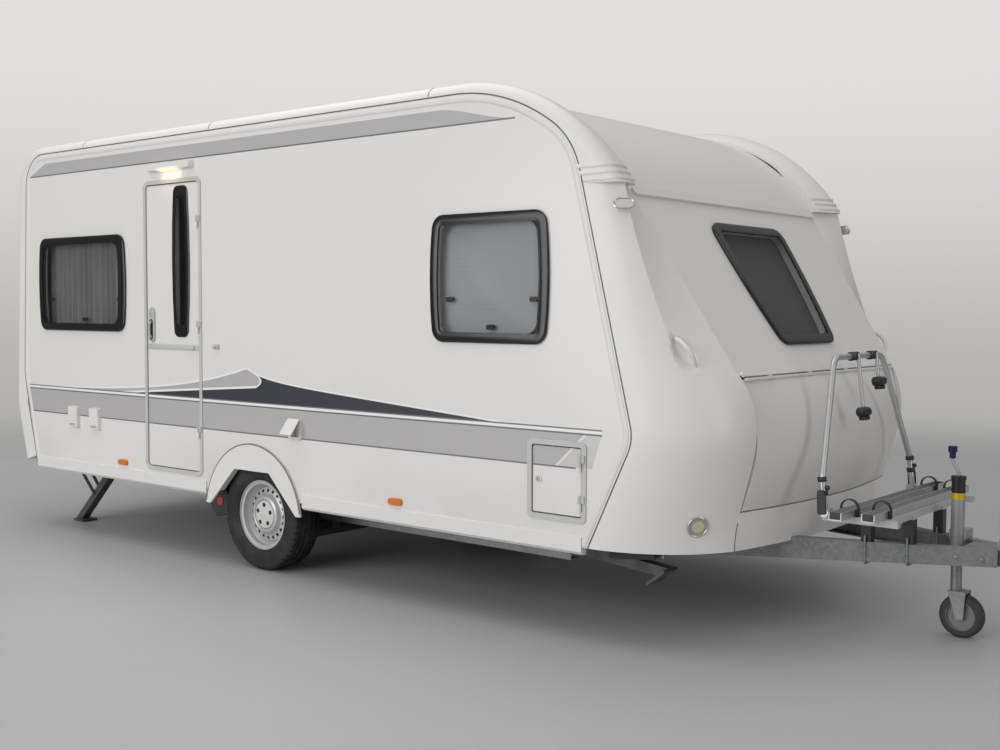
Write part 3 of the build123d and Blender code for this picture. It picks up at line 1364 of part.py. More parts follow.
for name, x, sign, way, turn in leg_table:
    leg_plane = swung_plane(x, sign * LEG_Y, LEG_PIVOT_Z, way, turn)
    tilt = math.radians(turn - leg_down)
    pad_plane = Plane(
        origin=leg_plane.from_local_coords((LEG_LENGTH, 0, 0)),
        x_dir=(way * math.cos(tilt), 0, -math.sin(tilt)),
        z_dir=(way * math.sin(tilt), 0, math.cos(tilt)),
    )
    with BuildPart() as leg:
        with BuildSketch(leg_plane):
            with Locations((LEG_LENGTH / 2, (LEG_RISE - LEG_DEEP) / 2)):
                Rectangle(LEG_LENGTH + 2 * LEG_DEEP, LEG_RISE + LEG_DEEP)
        extrude(amount=leg_half, both=True)
        with BuildSketch(leg_plane):
            with Locations((LEG_LENGTH / 2, LEG_STEEL - LEG_DEEP)):
                Rectangle(LEG_LENGTH + 2 * LEG_DEEP, 2 * LEG_DEEP, align=(Align.CENTER, Align.MIN))
        extrude(amount=leg_half - LEG_STEEL, both=True, mode=Mode.SUBTRACT)
        with BuildSketch(leg_plane):
            Circle(PIVOT_PIN + PIN_GAP)
            with Locations((LEG_LINK, 0)):
                Circle(STRUT_PIN + PIN_GAP)
        extrude(amount=leg_half, both=True, mode=Mode.SUBTRACT)
        split(bisect_by=pad_plane, keep=Keep.TOP)
        with BuildSketch(pad_plane):
            with Locations(((PAD_AHEAD - PAD_BEHIND) / 2, 0)):
                Rectangle(PAD_AHEAD + PAD_BEHIND, PAD_WIDTH)
        extrude(amount=-PAD)
    save(leg, f"leg_{name}")
    strut_plane = swung_plane(*leg_plane.from_local_coords((LEG_LINK, 0, 0)), way, -turn)
    with BuildPart() as strut:
        for edge in (-1, 1):
            with BuildSketch(strut_plane.offset(edge * strut_inner)):
                with Locations((LEG_LINK / 2, 0)):
                    SlotCenterToCenter(LEG_LINK, 2 * (STRUT_PIN + 7.0))
            extrude(amount=edge * STEEL)
            with BuildSketch(strut_plane.offset(edge * strut_outer)):
                with Locations((LEG_LINK, 0)):
                    Circle(STRUT_PIN)
            extrude(amount=-edge * (strut_outer - SPINDLE_RADIUS - RUN_GAP))
        with BuildSketch(strut_plane.offset(-strut_outer)):
            Circle(STRUT_PIN)
        extrude(amount=2 * strut_outer)
    save(strut, f"strut_{name}")

# Cycle carrier: welded base on brackets over the drawbar arms
carrier_top = CARRIER_Z + CARRIER_TUBE
carrier_rear = x_tip - CARRIER_BACK
carrier_front = x_tip - CARRIER_FRONT
hoop_x = x_tip - HOOP_BACK


def arm_middle(x):
    """Distance from the middle to the middle of a drawbar arm at x."""
    return -arm_nose.Y + (arm_nose.X - x) * math.tan(arm_turn) - ARM_WIDTH / 2 / math.cos(arm_turn)


with BuildPart() as carrier_base:
    for sign in (-1, 1):
        with Locations(((carrier_rear + carrier_front) / 2, sign * CARRIER_HALF, CARRIER_Z)):
            Box(
                carrier_front - carrier_rear, CARRIER_TUBE, CARRIER_TUBE,
                align=(Align.CENTER, Align.CENTER, Align.MIN),
            )
        for x in (carrier_rear + 110.0, carrier_front - 60.0):
            with Locations((x, sign * arm_middle(x), FLOOR_Z)):
                Box(
                    46.0, 44.0, CARRIER_Z - FLOOR_Z + CARRIER_TUBE / 2,
                    align=(Align.CENTER, Align.CENTER, Align.MIN),
                )
        with BuildSketch(Plane.XZ.offset(-sign * CARRIER_HALF)):
            with BuildLine():
                Polyline(
                    (hoop_x - 18, carrier_top), (hoop_x + 26, carrier_top), (hoop_x + 16, HOOP_PIVOT_Z + 16),
                    (hoop_x - 14, HOOP_PIVOT_Z + 16), close=True,
                )
            make_face()
        extrude(amount=STEEL, both=True)
        with BuildSketch(Plane.XZ.offset(-sign * CARRIER_HALF)):
            with Locations((hoop_x, HOOP_PIVOT_Z)):
                Circle(HOOP_PIN)
        extrude(amount=-sign * (HOOP_HALF + HOOP_TUBE - CARRIER_HALF))
    for x in (carrier_rear + 110.0, carrier_front - 60.0):
        with Locations((x, 0, CARRIER_Z)):
            Box(CARRIER_TUBE, 2 * CARRIER_HALF, CARRIER_TUBE, align=(Align.CENTER, Align.CENTER, Align.MIN))
save(carrier_base, "carrier_base")

# Wheel rails of the carrier: distance behind the tip, half length, straps from the middle
carrier_rail_table = ((889.0, 626.0, 473.0), (761.0, 582.0, 430.0))
with BuildPart() as carrier_rails:
    for back, half, strap in carrier_rail_table:
        with BuildSketch(Plane.XZ.offset(half)):
            with Locations((x_tip - back, carrier_top)):
                Rectangle(CARRIER_RAIL, CARRIER_RAIL_HEIGHT, align=(Align.CENTER, Align.MIN))
            with Locations((x_tip - back, carrier_top + 4.0)):
                Rectangle(
                    CARRIER_RAIL - 8.0, CARRIER_RAIL_HEIGHT, align=(Align.CENTER, Align.MIN),
                    mode=Mode.SUBTRACT,
                )
        extrude(amount=-2 * half)
save(carrier_rails, "carrier_rails")

rail_rim = carrier_top + CARRIER_RAIL_HEIGHT
with BuildPart() as carrier_straps:
    for back, half, strap in carrier_rail_table:
        for y in (-strap, strap):
            with BuildSketch(Plane.XZ.offset(-y)):
                with Locations((x_tip - back, rail_rim)):
                    Circle(STRAP_RADIUS)
                    Circle(STRAP_RADIUS - STRAP, mode=Mode.SUBTRACT)
                    Rectangle(
                        3 * STRAP_RADIUS, 2 * STRAP_RADIUS, align=(Align.CENTER, Align.MAX),
                        mode=Mode.SUBTRACT,
                    )
                for edge in (-1, 1):
                    with Locations((x_tip - back + edge * (CARRIER_RAIL + STRAP_EAR) / 2, rail_rim)):
                        Rectangle(STRAP_EAR, CARRIER_RAIL_HEIGHT, align=(Align.CENTER, Align.MAX))
            extrude(amount=STRAP_WIDTH / 2, both=True)
save(carrier_straps, "carrier_straps")

# Folding hoop that holds the cycle frames, and its two clamp arms
hoop_turn = math.radians(HOOP_LEAN)
hoop_plane = Plane(
    origin=(hoop_x, 0, HOOP_PIVOT_Z), x_dir=(0, 1, 0), z_dir=(math.cos(hoop_turn), 0, math.sin(hoop_turn))
)
hoop_top = (HOOP_TOP_Z - HOOP_PIVOT_Z - HOOP_TUBE) / math.cos(hoop_turn)
hoop_knee = (HOOP_KNEE_Z - HOOP_PIVOT_Z) / math.cos(hoop_turn)
with BuildPart() as carrier_hoop:
    with BuildLine(hoop_plane) as hoop_line:
        FilletPolyline(
            (-HOOP_HALF, 0), (-HOOP_HALF, hoop_knee), (-HOOP_TOP_HALF, hoop_top), (HOOP_TOP_HALF, hoop_top),
            (HOOP_HALF, hoop_knee), (HOOP_HALF, 0), radius=(90.0, 70.0, 70.0, 90.0),
        )
    with BuildSketch(Plane(hoop_line.wires()[0] @ 0, z_dir=hoop_line.wires()[0] % 0)):
        Circle(HOOP_TUBE)
    sweep(path=hoop_line.wires()[0])
    for sign in (-1, 1):
        with BuildSketch(Plane.XZ.offset(-sign * HOOP_HALF)):
            with Locations((hoop_x, HOOP_PIVOT_Z)):
                Circle(HOOP_TUBE + 6.0)
        extrude(amount=HOOP_TUBE + 3.0, both=True)
        with BuildSketch(Plane.XZ.offset(-sign * (HOOP_HALF - 2 * HOOP_TUBE))):
            with Locations((hoop_x, HOOP_PIVOT_Z)):
                Circle(HOOP_PIN + PIN_GAP)
        extrude(amount=-sign * 4 * HOOP_TUBE, mode=Mode.SUBTRACT)
save(carrier_hoop, "carrier_hoop")

# Clamp arms: place across and drop of the knob below the cross bar
clamp_arm_table = ((-80.0, 262.0), (130.0, 128.0))
with BuildPart() as carrier_arms:
    for y, drop in clamp_arm_table:
        with BuildSketch(hoop_plane):
            with Locations((y, hoop_top)):
                Rectangle(34.0, 44.0)
        extrude(amount=HOOP_TUBE + 9.0, both=True)
        with BuildSketch(hoop_plane.offset(HOOP_TUBE + 9.0)):
            with Locations((y, hoop_top + 12.0)):
                Rectangle(18.0, drop + 12.0, align=(Align.CENTER, Align.MAX))
        extrude(amount=18.0)
        with BuildSketch(hoop_plane.offset(HOOP_TUBE - 6.0)):
            with Locations((y, hoop_top - drop)):
                RectangleRounded(58.0, 40.0, 12.0)
        extrude(amount=56.0)
    add(carrier_hoop.part, mode=Mode.SUBTRACT)
save(carrier_arms, "carrier_arms")
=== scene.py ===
import math
import bmesh
import bpy
import numpy as np
from mathutils import Matrix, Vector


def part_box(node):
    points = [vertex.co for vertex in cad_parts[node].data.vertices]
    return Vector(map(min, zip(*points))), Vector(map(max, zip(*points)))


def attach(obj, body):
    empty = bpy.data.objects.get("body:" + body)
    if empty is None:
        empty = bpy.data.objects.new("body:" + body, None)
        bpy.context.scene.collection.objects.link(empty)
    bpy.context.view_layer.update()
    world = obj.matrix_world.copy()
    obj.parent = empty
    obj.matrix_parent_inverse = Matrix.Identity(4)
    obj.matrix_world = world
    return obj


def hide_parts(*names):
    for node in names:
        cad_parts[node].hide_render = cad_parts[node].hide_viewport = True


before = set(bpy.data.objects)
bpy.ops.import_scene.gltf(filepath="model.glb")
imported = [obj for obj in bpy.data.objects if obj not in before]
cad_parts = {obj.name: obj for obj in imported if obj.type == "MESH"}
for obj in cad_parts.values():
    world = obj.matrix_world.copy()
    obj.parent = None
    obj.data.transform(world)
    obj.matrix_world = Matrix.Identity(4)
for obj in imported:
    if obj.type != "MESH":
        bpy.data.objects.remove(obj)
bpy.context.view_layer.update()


# The caravan stands on a pale sealed floor in a plain hall. A soft panel of light hangs over it, a broad one
# stands off the door side and a weaker one ahead. The camera stands off the right front corner, at the
# height of the window sills, with the angle and lens of the photograph.
class Wire:
    """A shader socket to calculate with: operators make Math nodes, and node() makes any other kind."""

    def __init__(self, tree, socket):
        self.tree = tree
        self.socket = socket

    def node(self, kind, settings, sockets, output=0):
        made = self.tree.nodes.new("ShaderNode" + kind)
        for key, value in settings.items():
            setattr(made, key, value)
        self.feed(made, sockets)
        return Wire(self.tree, made.outputs[output])

    def feed(self, target, sockets):
        for key, value in sockets.items():
            if isinstance(value, Wire):
                self.tree.links.new(value.socket, target.inputs[key])
            else:
                target.inputs[key].default_value = value

    def apply(self, operation, other=0.0):
        return self.node("Math", {"operation": operation}, {0: self, 1: other})

    def __add__(self, other):
        return self.apply("ADD", other)

    def __sub__(self, other):
        return self.apply("SUBTRACT", other)

    def __rsub__(self, other):
        return self.node("Math", {"operation": "SUBTRACT"}, {0: other, 1: self})

    def __mul__(self, other):
        return self.apply("MULTIPLY", other)

    def __truediv__(self, other):
        return self.apply("DIVIDE", other)

    def __pow__(self, other):
        return self.apply("POWER", other)

    def __rpow__(self, other):
        return self.node("Math", {"operation": "POWER"}, {0: other, 1: self})

    __radd__ = __add__
    __rmul__ = __mul__


def step(value, low, high):
    """A smooth rise from 0 at low to 1 at high."""
    ends = {"Value": value, "From Min": low, "From Max": high}
    return value.node("MapRange", {"interpolation_type": "SMOOTHSTEP"}, ends)


def shade(amount, low, high):
    """A colour between low and high."""
    ends = [colour if isinstance(colour, Wire) else (*colour, 1.0) for colour in (low, high)]
    return amount.node("Mix", {"data_type": "RGBA"}, {0: amount, 6: ends[0], 7: ends[1]}, 2)


def grain(where, scale, detail=2.0):
    """Cloudy noise from 0 to 1, with that many waves a metre."""
    return where.node("TexNoise", {}, {"Vector": where, "Scale": scale, "Detail": detail})


def relief(height, strength, distance=0.001):
    """A surface normal tipped by a height, in metres of distance."""
    return height.node("Bump", {}, {"Strength": strength, "Distance": distance, "Height": height})


def axes(where):
    """The three coordinates of a place."""
    parts = where.node("SeparateXYZ", {}, {0: where}).socket.node.outputs
    return [Wire(where.tree, part) for part in parts]


def coating(name, **constants):
    """A new material with its constant sockets set, its shader, and the object's own coordinates."""
    skin = bpy.data.materials.new(name)
    skin.use_nodes = True
    shader = skin.node_tree.nodes["Principled BSDF"]
    for key, value in constants.items():
        shader.inputs[key.replace("_", " ")].default_value = value
    places = skin.node_tree.nodes.new("ShaderNodeTexCoord")
    return skin, shader, Wire(skin.node_tree, places.outputs["Object"])


def paint(shader, colour, gloss, normal):
    """What varies over most surfaces: the colour, the roughness and the tip of the surface."""
    normal.feed(shader, {"Base Color": colour, "Roughness": gloss, "Normal": normal})


def patch(points, wrap=(False, False)):
    """Four-sided faces over a grid of points, joined end to end along the ways that wrap."""
    rows, columns = points.shape[:2]
    row = np.arange(rows if wrap[0] else rows - 1)[:, None]
    column = np.arange(columns if wrap[1] else columns - 1)[None, :]
    below, beside = (row + 1) % rows, (column + 1) % columns
    corners = np.broadcast_arrays(
        row * columns + column, below * columns + column, below * columns + beside, row * columns + beside
    )
    return points.reshape(-1, 3), np.stack(corners, -1).reshape(-1, 4)


def form(name, patches, skin, crisp=38.0, uv=None):
    """A mesh object of several patches: doubles merged, faces outwards, edges past the crisp angle sharp."""
    starts = np.cumsum([0] + [len(points) for points, _ in patches])
    points = np.concatenate([points for points, _ in patches])
    faces = np.concatenate([faces + start for (_, faces), start in zip(patches, starts)])
    mesh = bpy.data.meshes.new(name)
    mesh.from_pydata(points.tolist(), [], faces.tolist())
    if uv is not None:
        mesh.uv_layers.new(name="edge").uv.foreach_set("vector", np.asarray(uv)[faces.ravel()].ravel())
    work = bmesh.new()
    work.from_mesh(mesh)
    bmesh.ops.remove_doubles(work, verts=work.verts, dist=1e-6)
    bmesh.ops.recalc_face_normals(work, faces=work.faces)
    work.to_mesh(mesh)
    work.free()
    mesh.polygons.foreach_set("use_smooth", np.ones(len(mesh.polygons), bool))
    mesh.set_sharp_from_angle(angle=math.radians(crisp))
    mesh.materials.append(skin)
    made = bpy.data.objects.new(name, mesh)
    bpy.context.scene.collection.objects.link(made)
    return made


def once_round(steps):
    """Even angles once round, without the last, which would repeat the first."""
    return np.linspace(0.0, 2.0 * math.pi, steps, endpoint=False)


FLOOR_REACH = 17.0
ground, shader, where = coating("sealed_floor", Specular_IOR_Level=0.25)
x, y, z = axes(where)
cloud = grain(where, 0.7, 5.0)
fleck = grain(where, 45.0, 3.0)
concrete = shade(cloud * 0.7 + fleck * 0.3, (0.51, 0.51, 0.515), (0.43, 0.43, 0.435))
reach = (x * x + y * y) ** 0.5
gloss = cloud * 0.14 + 0.36 + 0.45 * step(reach, 4.0, 8.5)
paint(shader, concrete, gloss, relief(fleck, 0.04))
clear = where.node("BsdfTransparent", {}, {})
joined = where.node("MixShader", {}, {0: step(reach, 6.0, 12.0), 2: clear})
where.tree.links.new(shader.outputs[0], joined.socket.node.inputs[1])
where.feed(ground.node_tree.nodes["Material Output"], {"Surface": joined})
turn = once_round(96)
rings = np.linspace(0.0, 1.0, 20)[:, None] ** 1.5 * FLOOR_REACH
disc = np.stack([rings * np.cos(turn), rings * np.sin(turn), 0.0 * rings * turn], -1)
form("hall_floor", [patch(disc, (False, True))], ground)

hall = bpy.data.worlds.new("hall")
bpy.context.scene.world = hall
hall.use_nodes = True
sky = hall.node_tree.nodes["Background"]
rays = hall.node_tree.nodes.new("ShaderNodeLightPath").outputs
seen = Wire(hall.node_tree, rays["Is Camera Ray"])
mirrored = Wire(hall.node_tree, rays["Is Glossy Ray"])
through = Wire(hall.node_tree, rays["Is Transmission Ray"])
direct = seen.apply("MAXIMUM", through)
toward = Wire(hall.node_tree, hall.node_tree.nodes.new("ShaderNodeTexCoord").outputs["Generated"])
height = axes(toward)[2]
wall_tone = shade(step(height, -0.12, 0.20), (0.42, 0.415, 0.41), (0.75, 0.738, 0.725))
hall_tone = shade(step(height, -0.05, 0.9), (0.17, 0.17, 0.17), (0.86, 0.855, 0.84))
seen.feed(sky, {"Color": shade(direct, hall_tone, wall_tone)})
seen.feed(sky, {"Strength": 0.80 - 0.1 * mirrored + 0.20 * direct})


def stand(name, data, columns):
    """A lamp or camera in the hall, placed by four columns: right, up, back, and where it stands."""
    made = bpy.data.objects.new(name, data)
    made.matrix_world = Matrix(np.vstack([np.column_stack(columns), (0.0, 0.0, 0.0, 1.0)]).tolist())
    bpy.context.scene.collection.objects.link(made)
    return made


def soft_panel(name, width, height, power, columns):
    """A rectangular lamp of that size and power."""
    panel = bpy.data.lights.new(name, "AREA")
    panel.shape = "RECTANGLE"
    panel.size = width
    panel.size_y = height
    panel.energy = power
    stand(name, panel, columns)
    return panel


# Soft panels: name, place, aimed at, width, height, power
for name, at, aim, width, height, power in (
    ("panel_overhead", (-2.0, -1.0, 6.2), (-2.0, -0.8, 0.0), 7.0, 5.0, 125.0),
    ("panel_door_side", (-2.2, -12.8, 3.55), (-0.2, -0.6, 0.8), 12.3, 6.6, 810.0),
    ("panel_front", (11.9, -1.75, 2.1), (2.0, 0.0, 0.75), 6.5, 3.5, 147.0),
):
    back = np.subtract(at, aim) / np.linalg.norm(np.subtract(at, aim))
    side = np.cross((0.0, 1.0, 0.001), back)
    side /= np.linalg.norm(side)
    soft_panel(name, width, height, power, (side, np.cross(back, side), back, at))

CAMERA_AT = (4.630, -5.5045, 1.4902)
turned, pitch, roll = (math.radians(angle) for angle in (39.586, -3.152, 0.223))
ahead = np.array(
    [-math.sin(turned) * math.cos(pitch), math.cos(turned) * math.cos(pitch), math.sin(pitch)]
)
right = np.array([math.cos(turned), math.sin(turned), 0.0])
upward = np.cross(right, ahead)
rolled = right * math.cos(roll) + upward * math.sin(roll)
upward = upward * math.cos(roll) - right * math.sin(roll)
lens = bpy.data.cameras.new("camera")
lens.lens = 43.816
lens.sensor_width = 36.0
bpy.context.scene.camera = stand("camera", lens, (rolled, upward, -ahead, CAMERA_AT))
bpy.context.scene.view_settings.view_transform = "Standard"


# The chassis is folded steel, dipped in zinc: two rails with cross members, and an A-frame whose arms
# meet at the coupling. Bolts with washers hold the arms to the rails, and bent U-bolts clamp the carrier.
def dress(skin, *nodes):
    """The finish of whole CAD nodes."""
    for node in nodes:
        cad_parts[node].material_slots[0].material = skin


def fit(name, patches, skin, body, crisp=38.0, uv=None):
    """A new piece that rides on a body, with the finish it is given."""
    made = form(name, patches, skin, crisp, uv)
    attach(made, body)
    return made


def bend(corners, radii, steps=7, closed=False):
    """A path through corners, where each is turned by an arc of its radius that touches both sides."""
    corners = np.asarray(corners, float)
    count = len(corners)
    radii = np.broadcast_to(radii, count)
    path = []
    for i in range(count):
        radius = radii[i] if closed or 0 < i < count - 1 else 0.0
        if radius == 0.0:
            path.append(corners[i][None])
            continue
        back = corners[i - 1] - corners[i]
        on = corners[(i + 1) % count] - corners[i]
        back /= np.linalg.norm(back)
        on /= np.linalg.norm(on)
        half = math.acos(max(-1.0, min(1.0, back @ on))) / 2.0
        middle = corners[i] + (back + on) / np.linalg.norm(back + on) * radius / math.sin(half)
        start = corners[i] + back * radius / math.tan(half) - middle
        end = corners[i] + on * radius / math.tan(half) - middle
        sweep = math.pi - 2.0 * half
        share = np.linspace(0.0, 1.0, steps)[:, None]
        swung = np.sin((1.0 - share) * sweep) * start + np.sin(share * sweep) * end
        path.append(middle + swung / math.sin(sweep))
    return np.concatenate(path)


def capped(rows):
    """Faces over closed rows of points, with the first and the last row drawn to their middles."""
    ends = np.repeat(rows[[0, -1]].mean(1)[:, None], rows.shape[1], 1)
    return patch(np.concatenate([ends[:1], rows, ends[1:]]), (False, True))


def tube(path, radius, across=(0.0, 1.0, 0.0), sides=14):
    """A round bar: a circle carried along a path, square to it, with both ends closed."""
    path = np.asarray(path, float)
    along = np.gradient(path, axis=0)
    along /= np.linalg.norm(along, axis=1)[:, None]
    side = np.cross(along, across)
    side /= np.linalg.norm(side, axis=1)[:, None]
    over = np.cross(side, along)
    turn = once_round(sides)[None, :, None]
    size = np.broadcast_to(radius, len(path))[:, None, None]
    return capped(path[:, None] + size * (np.cos(turn) * side[:, None] + np.sin(turn) * over[:, None]))


def lathe(profile, centre, axis, steps=32):
    """A turned form: (radius, height) points swung about an axis through the centre."""
    profile = np.asarray(profile, float)[:, None, :, None]
    axis = np.asarray(axis, float)
    side = np.cross(axis, (0.0, 0.0, 1.0) if abs(axis[2]) < 0.9 else (1.0, 0.0, 0.0))
    side /= np.linalg.norm(side)
    turn = once_round(steps)[None, :, None]
    ring = np.cos(turn) * side + np.sin(turn) * np.cross(axis, side)
    return patch(np.asarray(centre) + profile[:, :, 0] * ring + profile[:, :, 1] * axis, (False, True))


def bolt(centre, axis, size=0.008):
    """A washer and a six-sided head."""
    washer = lathe([(0, 0), (2.0 * size, 0), (2.0 * size, 0.002), (0, 0.002)], centre, axis, 18)
    top = 1.15 * size
    head = [(0, 0.002), (top, 0.002), (top, size), (0.9 * size, top), (0, top)]
    return [washer, lathe(head, centre, axis, 6)]


zinc, shader, where = coating("galvanised_steel", Metallic=0.7)
spangle = where.node("TexVoronoi", {}, {"Vector": where, "Scale": 70.0}, "Color")
spangle = where.node("RGBToBW", {}, {0: spangle})
weather = grain(where, 5.0, 5.0)
tone = shade(spangle * 0.45 + weather * 0.55, (0.38, 0.386, 0.392), (0.18, 0.183, 0.187))
paint(shader, tone, weather * 0.26 + 0.36, relief(spangle, 0.12))
dress(zinc, "chassis_frame", "drawbar_arms", "steady_frames", "overrun_housing")
NOSE = (2.96, 0.085)
ARM_TURN = math.radians(19.7)
ARM_TOP = 0.446
ARM_HALF = 0.0266
U_BOLT = 0.005
fastenings = []
# U-bolts: place along the arms, depth of the arm there
for x, depth in ((2.44, 0.0905), (2.61, 0.086)):
    outer = NOSE[1] + (NOSE[0] - x) * math.tan(ARM_TURN)
    ends = (outer + U_BOLT + 0.001, outer - 2.0 * ARM_HALF - U_BOLT - 0.001)
    foot = ARM_TOP - depth - U_BOLT - 0.002
    for sign in (-1, 1):
        near, far = (sign * end for end in ends)
        corners = [(x, near, ARM_TOP + 0.03), (x, near, foot), (x, far, foot), (x, far, ARM_TOP + 0.03)]
        fastenings.append(tube(bend(corners, 0.012), U_BOLT, (1.0, 0.0, 0.0), 10))
# Bolts through each arm: place along it, height
for x, z in ((1.30, 0.40), (1.30, 0.36), (1.62, 0.385), (2.80, 0.405), (2.90, 0.40)):
    for sign in (-1, 1):
        outer = NOSE[1] + (NOSE[0] - x) * math.tan(ARM_TURN)
        fastenings += bolt((x, sign * outer, z), (math.sin(ARM_TURN), sign * math.cos(ARM_TURN), 0.0))
fit("drawbar_fastenings", fastenings, zinc, "caravan")

# A rubber-sprung axle tube crosses the frame, sealed black, with a trailing link and a brake drum at each
# end. The legs are slotted steel channels, dark as painted shade under the body, each pushed by a black
# threaded stay.
def mottled(name, pale, dark, rough, scale, depth, **constants):
    """A material whose colour and gloss drift between two values, with a fine grain of that depth."""
    skin, shader, where = coating(name, **constants)
    drift = grain(where, scale, 4.0)
    fine = grain(where, scale * 16.0)
    gloss = drift * (rough[1] - rough[0]) + rough[0]
    paint(shader, shade(drift, pale, dark), gloss, relief(fine, depth))
    return skin


underseal = mottled("underseal_black", (0.05, 0.05, 0.052), (0.022, 0.022, 0.023), (0.55, 0.85), 9.0, 0.4)
dress(underseal, "axle")
# Painted shade: the legs are coloured dark for the shade under the body, which also hides the folded front
# pair.
shaded_leg_zinc = mottled(
    "leg_zinc_painted_shade", (0.15, 0.152, 0.155), (0.06, 0.06, 0.062), (0.42, 0.7), 11.0, 0.2, Metallic=0.5
)
legs = [f"{end}_{side}" for end in ("rear", "front") for side in ("right", "left")]
dress(shaded_leg_zinc, *[f"leg_{leg}" for leg in legs])
stay_black = mottled(
    "stay_black", (0.045, 0.045, 0.047), (0.02, 0.02, 0.02), (0.3, 0.55), 14.0, 0.2, Metallic=0.3
)
dress(stay_black, *[f"strut_{leg}" for leg in legs])

# A drive unit for moving the caravan by hand control sits behind each wheel: a dark moulded motor case on a
# bracket under the frame, with a red pointer ring on its end that shows whether the roller is engaged.
def plane(origin, u, v, n):
    """The place of a flat shape: its middle, two ways along it and the way out of it."""
    return tuple(np.array(part, float) for part in (origin, u, v, n))


def slab(outline, rings, place):
    """A pad on a plane: a closed outline through (inset, height) rings, both ends drawn to the middle."""
    along = np.roll(outline, -1, 0) - np.roll(outline, 1, 0)
    out = np.stack([along[:, 1], -along[:, 0]], 1)
    out /= np.linalg.norm(out, axis=1)[:, None]
    rings = np.asarray(rings, float)
    flat = outline[None] - rings[:, None, :1] * out[None]
    middle = np.broadcast_to(outline.mean(0), outline.shape)[None]
    flat = np.concatenate([middle, flat, middle])
    high = np.concatenate([rings[:1, 1], rings[:, 1], rings[-1:, 1]])[:, None, None]
    origin, u, v, n = place
    return patch(origin + flat[..., :1] * u + flat[..., 1:] * v + high * n, (False, True))


case_black = mottled("case_black", (0.045, 0.045, 0.046), (0.026, 0.026, 0.027), (0.4, 0.58), 12.0, 0.2)
pointer_red = mottled("pointer_red", (0.50, 0.05, 0.05), (0.36, 0.03, 0.03), (0.3, 0.45), 20.0, 0.1)
case_outline = bend(
    [(-0.050, -0.085), (0.085, -0.060), (0.085, 0.050), (0.03, 0.105), (-0.170, 0.105), (-0.165, 0.060)],
    0.014, 6, True,
)
case_rings = [(0.0, 0.0), (0.0, 0.33), (0.004, 0.338), (0.014, 0.342)]
pointer_line = [(0, 0.0), (0.026, 0.0), (0.026, 0.004), (0.020, 0.006), (0, 0.006)]
cases = []
pointers = []
for sign in (-1, 1):
    place = plane((-1.205, sign * 0.70, 0.330), (-sign, 0.0, 0.0), (0.0, 0.0, 1.0), (0.0, sign, 0.0))
    cases.append(slab((case_outline * (-sign, 1.0))[::-sign], case_rings, place))
    pointers.append(lathe(pointer_line, (-1.205, sign * 1.042, 0.345), place[3], 28))
fit("drive_unit_cases", cases, case_black, "caravan")
fit("drive_unit_pointers", pointers, pointer_red, "caravan")

# Each wheel is a pressed steel rim, sprayed silver, with a ring of round vents about a domed disc. A white
# plastic cover clips over the hub, and five bolts show in dark seats. The tyre is moulded rubber with four
# grooves round it and slots across its ribs.
rubber, shader, where = coating("tyre_rubber", Specular_IOR_Level=0.4)
dust = grain(where, 7.0, 5.0)
pores = grain(where, 160.0)
tone = shade(step(dust, 0.35, 0.75), (0.016, 0.016, 0.017), (0.05, 0.048, 0.045))
paint(shader, tone, dust * 0.3 + 0.55, relief(pores, 0.25))
silver = mottled(
    "silver_lacquer", (0.62, 0.62, 0.62), (0.50, 0.50, 0.50), (0.28, 0.44), 4.0, 0.05, Metallic=0.4
)
black = mottled("black_plastic", (0.030, 0.030, 0.031), (0.017, 0.017, 0.018), (0.32, 0.5), 18.0, 0.15)
cover_white = mottled("cover_white", (0.72, 0.715, 0.705), (0.64, 0.635, 0.625), (0.32, 0.48), 8.0, 0.06)
PITCHES = 50
BOLTS = 5
BOLT_RING = 0.056
COVER_FACE = 0.0604
TREAD_HALF = 0.0755
VENTS = 20
VENT_RING = 0.135
VENT_RADIUS = 0.010
VENT_BAND = 0.0125
STEEL = 0.004
half_pitch = math.pi / VENTS
# Rim barrel, edge and dome of its disc in section: radius, place outwards
rim_line = np.array([
    (0.197, -0.076), (0.197, -0.070), (0.180, -0.067), (0.178, -0.040), (0.160, -0.025), (0.160, 0.015),
    (0.178, 0.040), (0.180, 0.067), (0.197, 0.070), (0.197, 0.076),
])
disc_edge = np.array([(0.1475, 0.028), (0.1535, 0.024), (0.1560, 0.017)])
disc_dome = np.array([
    (0.1225, 0.034), (0.117, 0.038), (0.1115, 0.047), (0.106, 0.055), (0.099, 0.0595), (0.091, 0.0605),
    (0.0855, 0.058), (0.083, 0.053), (0.082, 0.048), (0.0, 0.048),
])
# One vent: rows from the edge of its square to the hole, through the steel, and back to the edge
hole = once_round(32)
square = np.stack([np.cos(hole), np.sin(hole)]) / np.maximum(np.abs(np.cos(hole)), np.abs(np.sin(hole)))
outwards = np.array([1.0, 0.6, 0.25, 0.0, 0.0, 0.25, 0.6, 1.0])[:, None]
behind = np.repeat([0.0, STEEL], 4)[:, None]
vent_swing = outwards * half_pitch * square[0] + (1.0 - outwards) * VENT_RADIUS / VENT_RING * np.cos(hole)
vent_reach = VENT_RING + outwards * VENT_BAND * square[1] + (1.0 - outwards) * VENT_RADIUS * np.sin(hole)
band_ends = [VENT_RING - VENT_BAND, VENT_RING + VENT_BAND]
vent_height = np.interp(vent_reach, band_ends, [disc_dome[0, 1], disc_edge[0, 1]]) - behind
# Half of the tyre's section in millimetres, from the middle of the tread to the rim
crown = np.array([0.0, 8.0, 15.0, 15.6, 24.4, 25.0, 32.0, 40.0, 47.0, 47.6, 56.4, 57.0, 66.0, 75.5]) / 1000.0
grooved = (np.abs(crown - 0.020) < 0.0045) | (np.abs(crown - 0.052) < 0.0045)
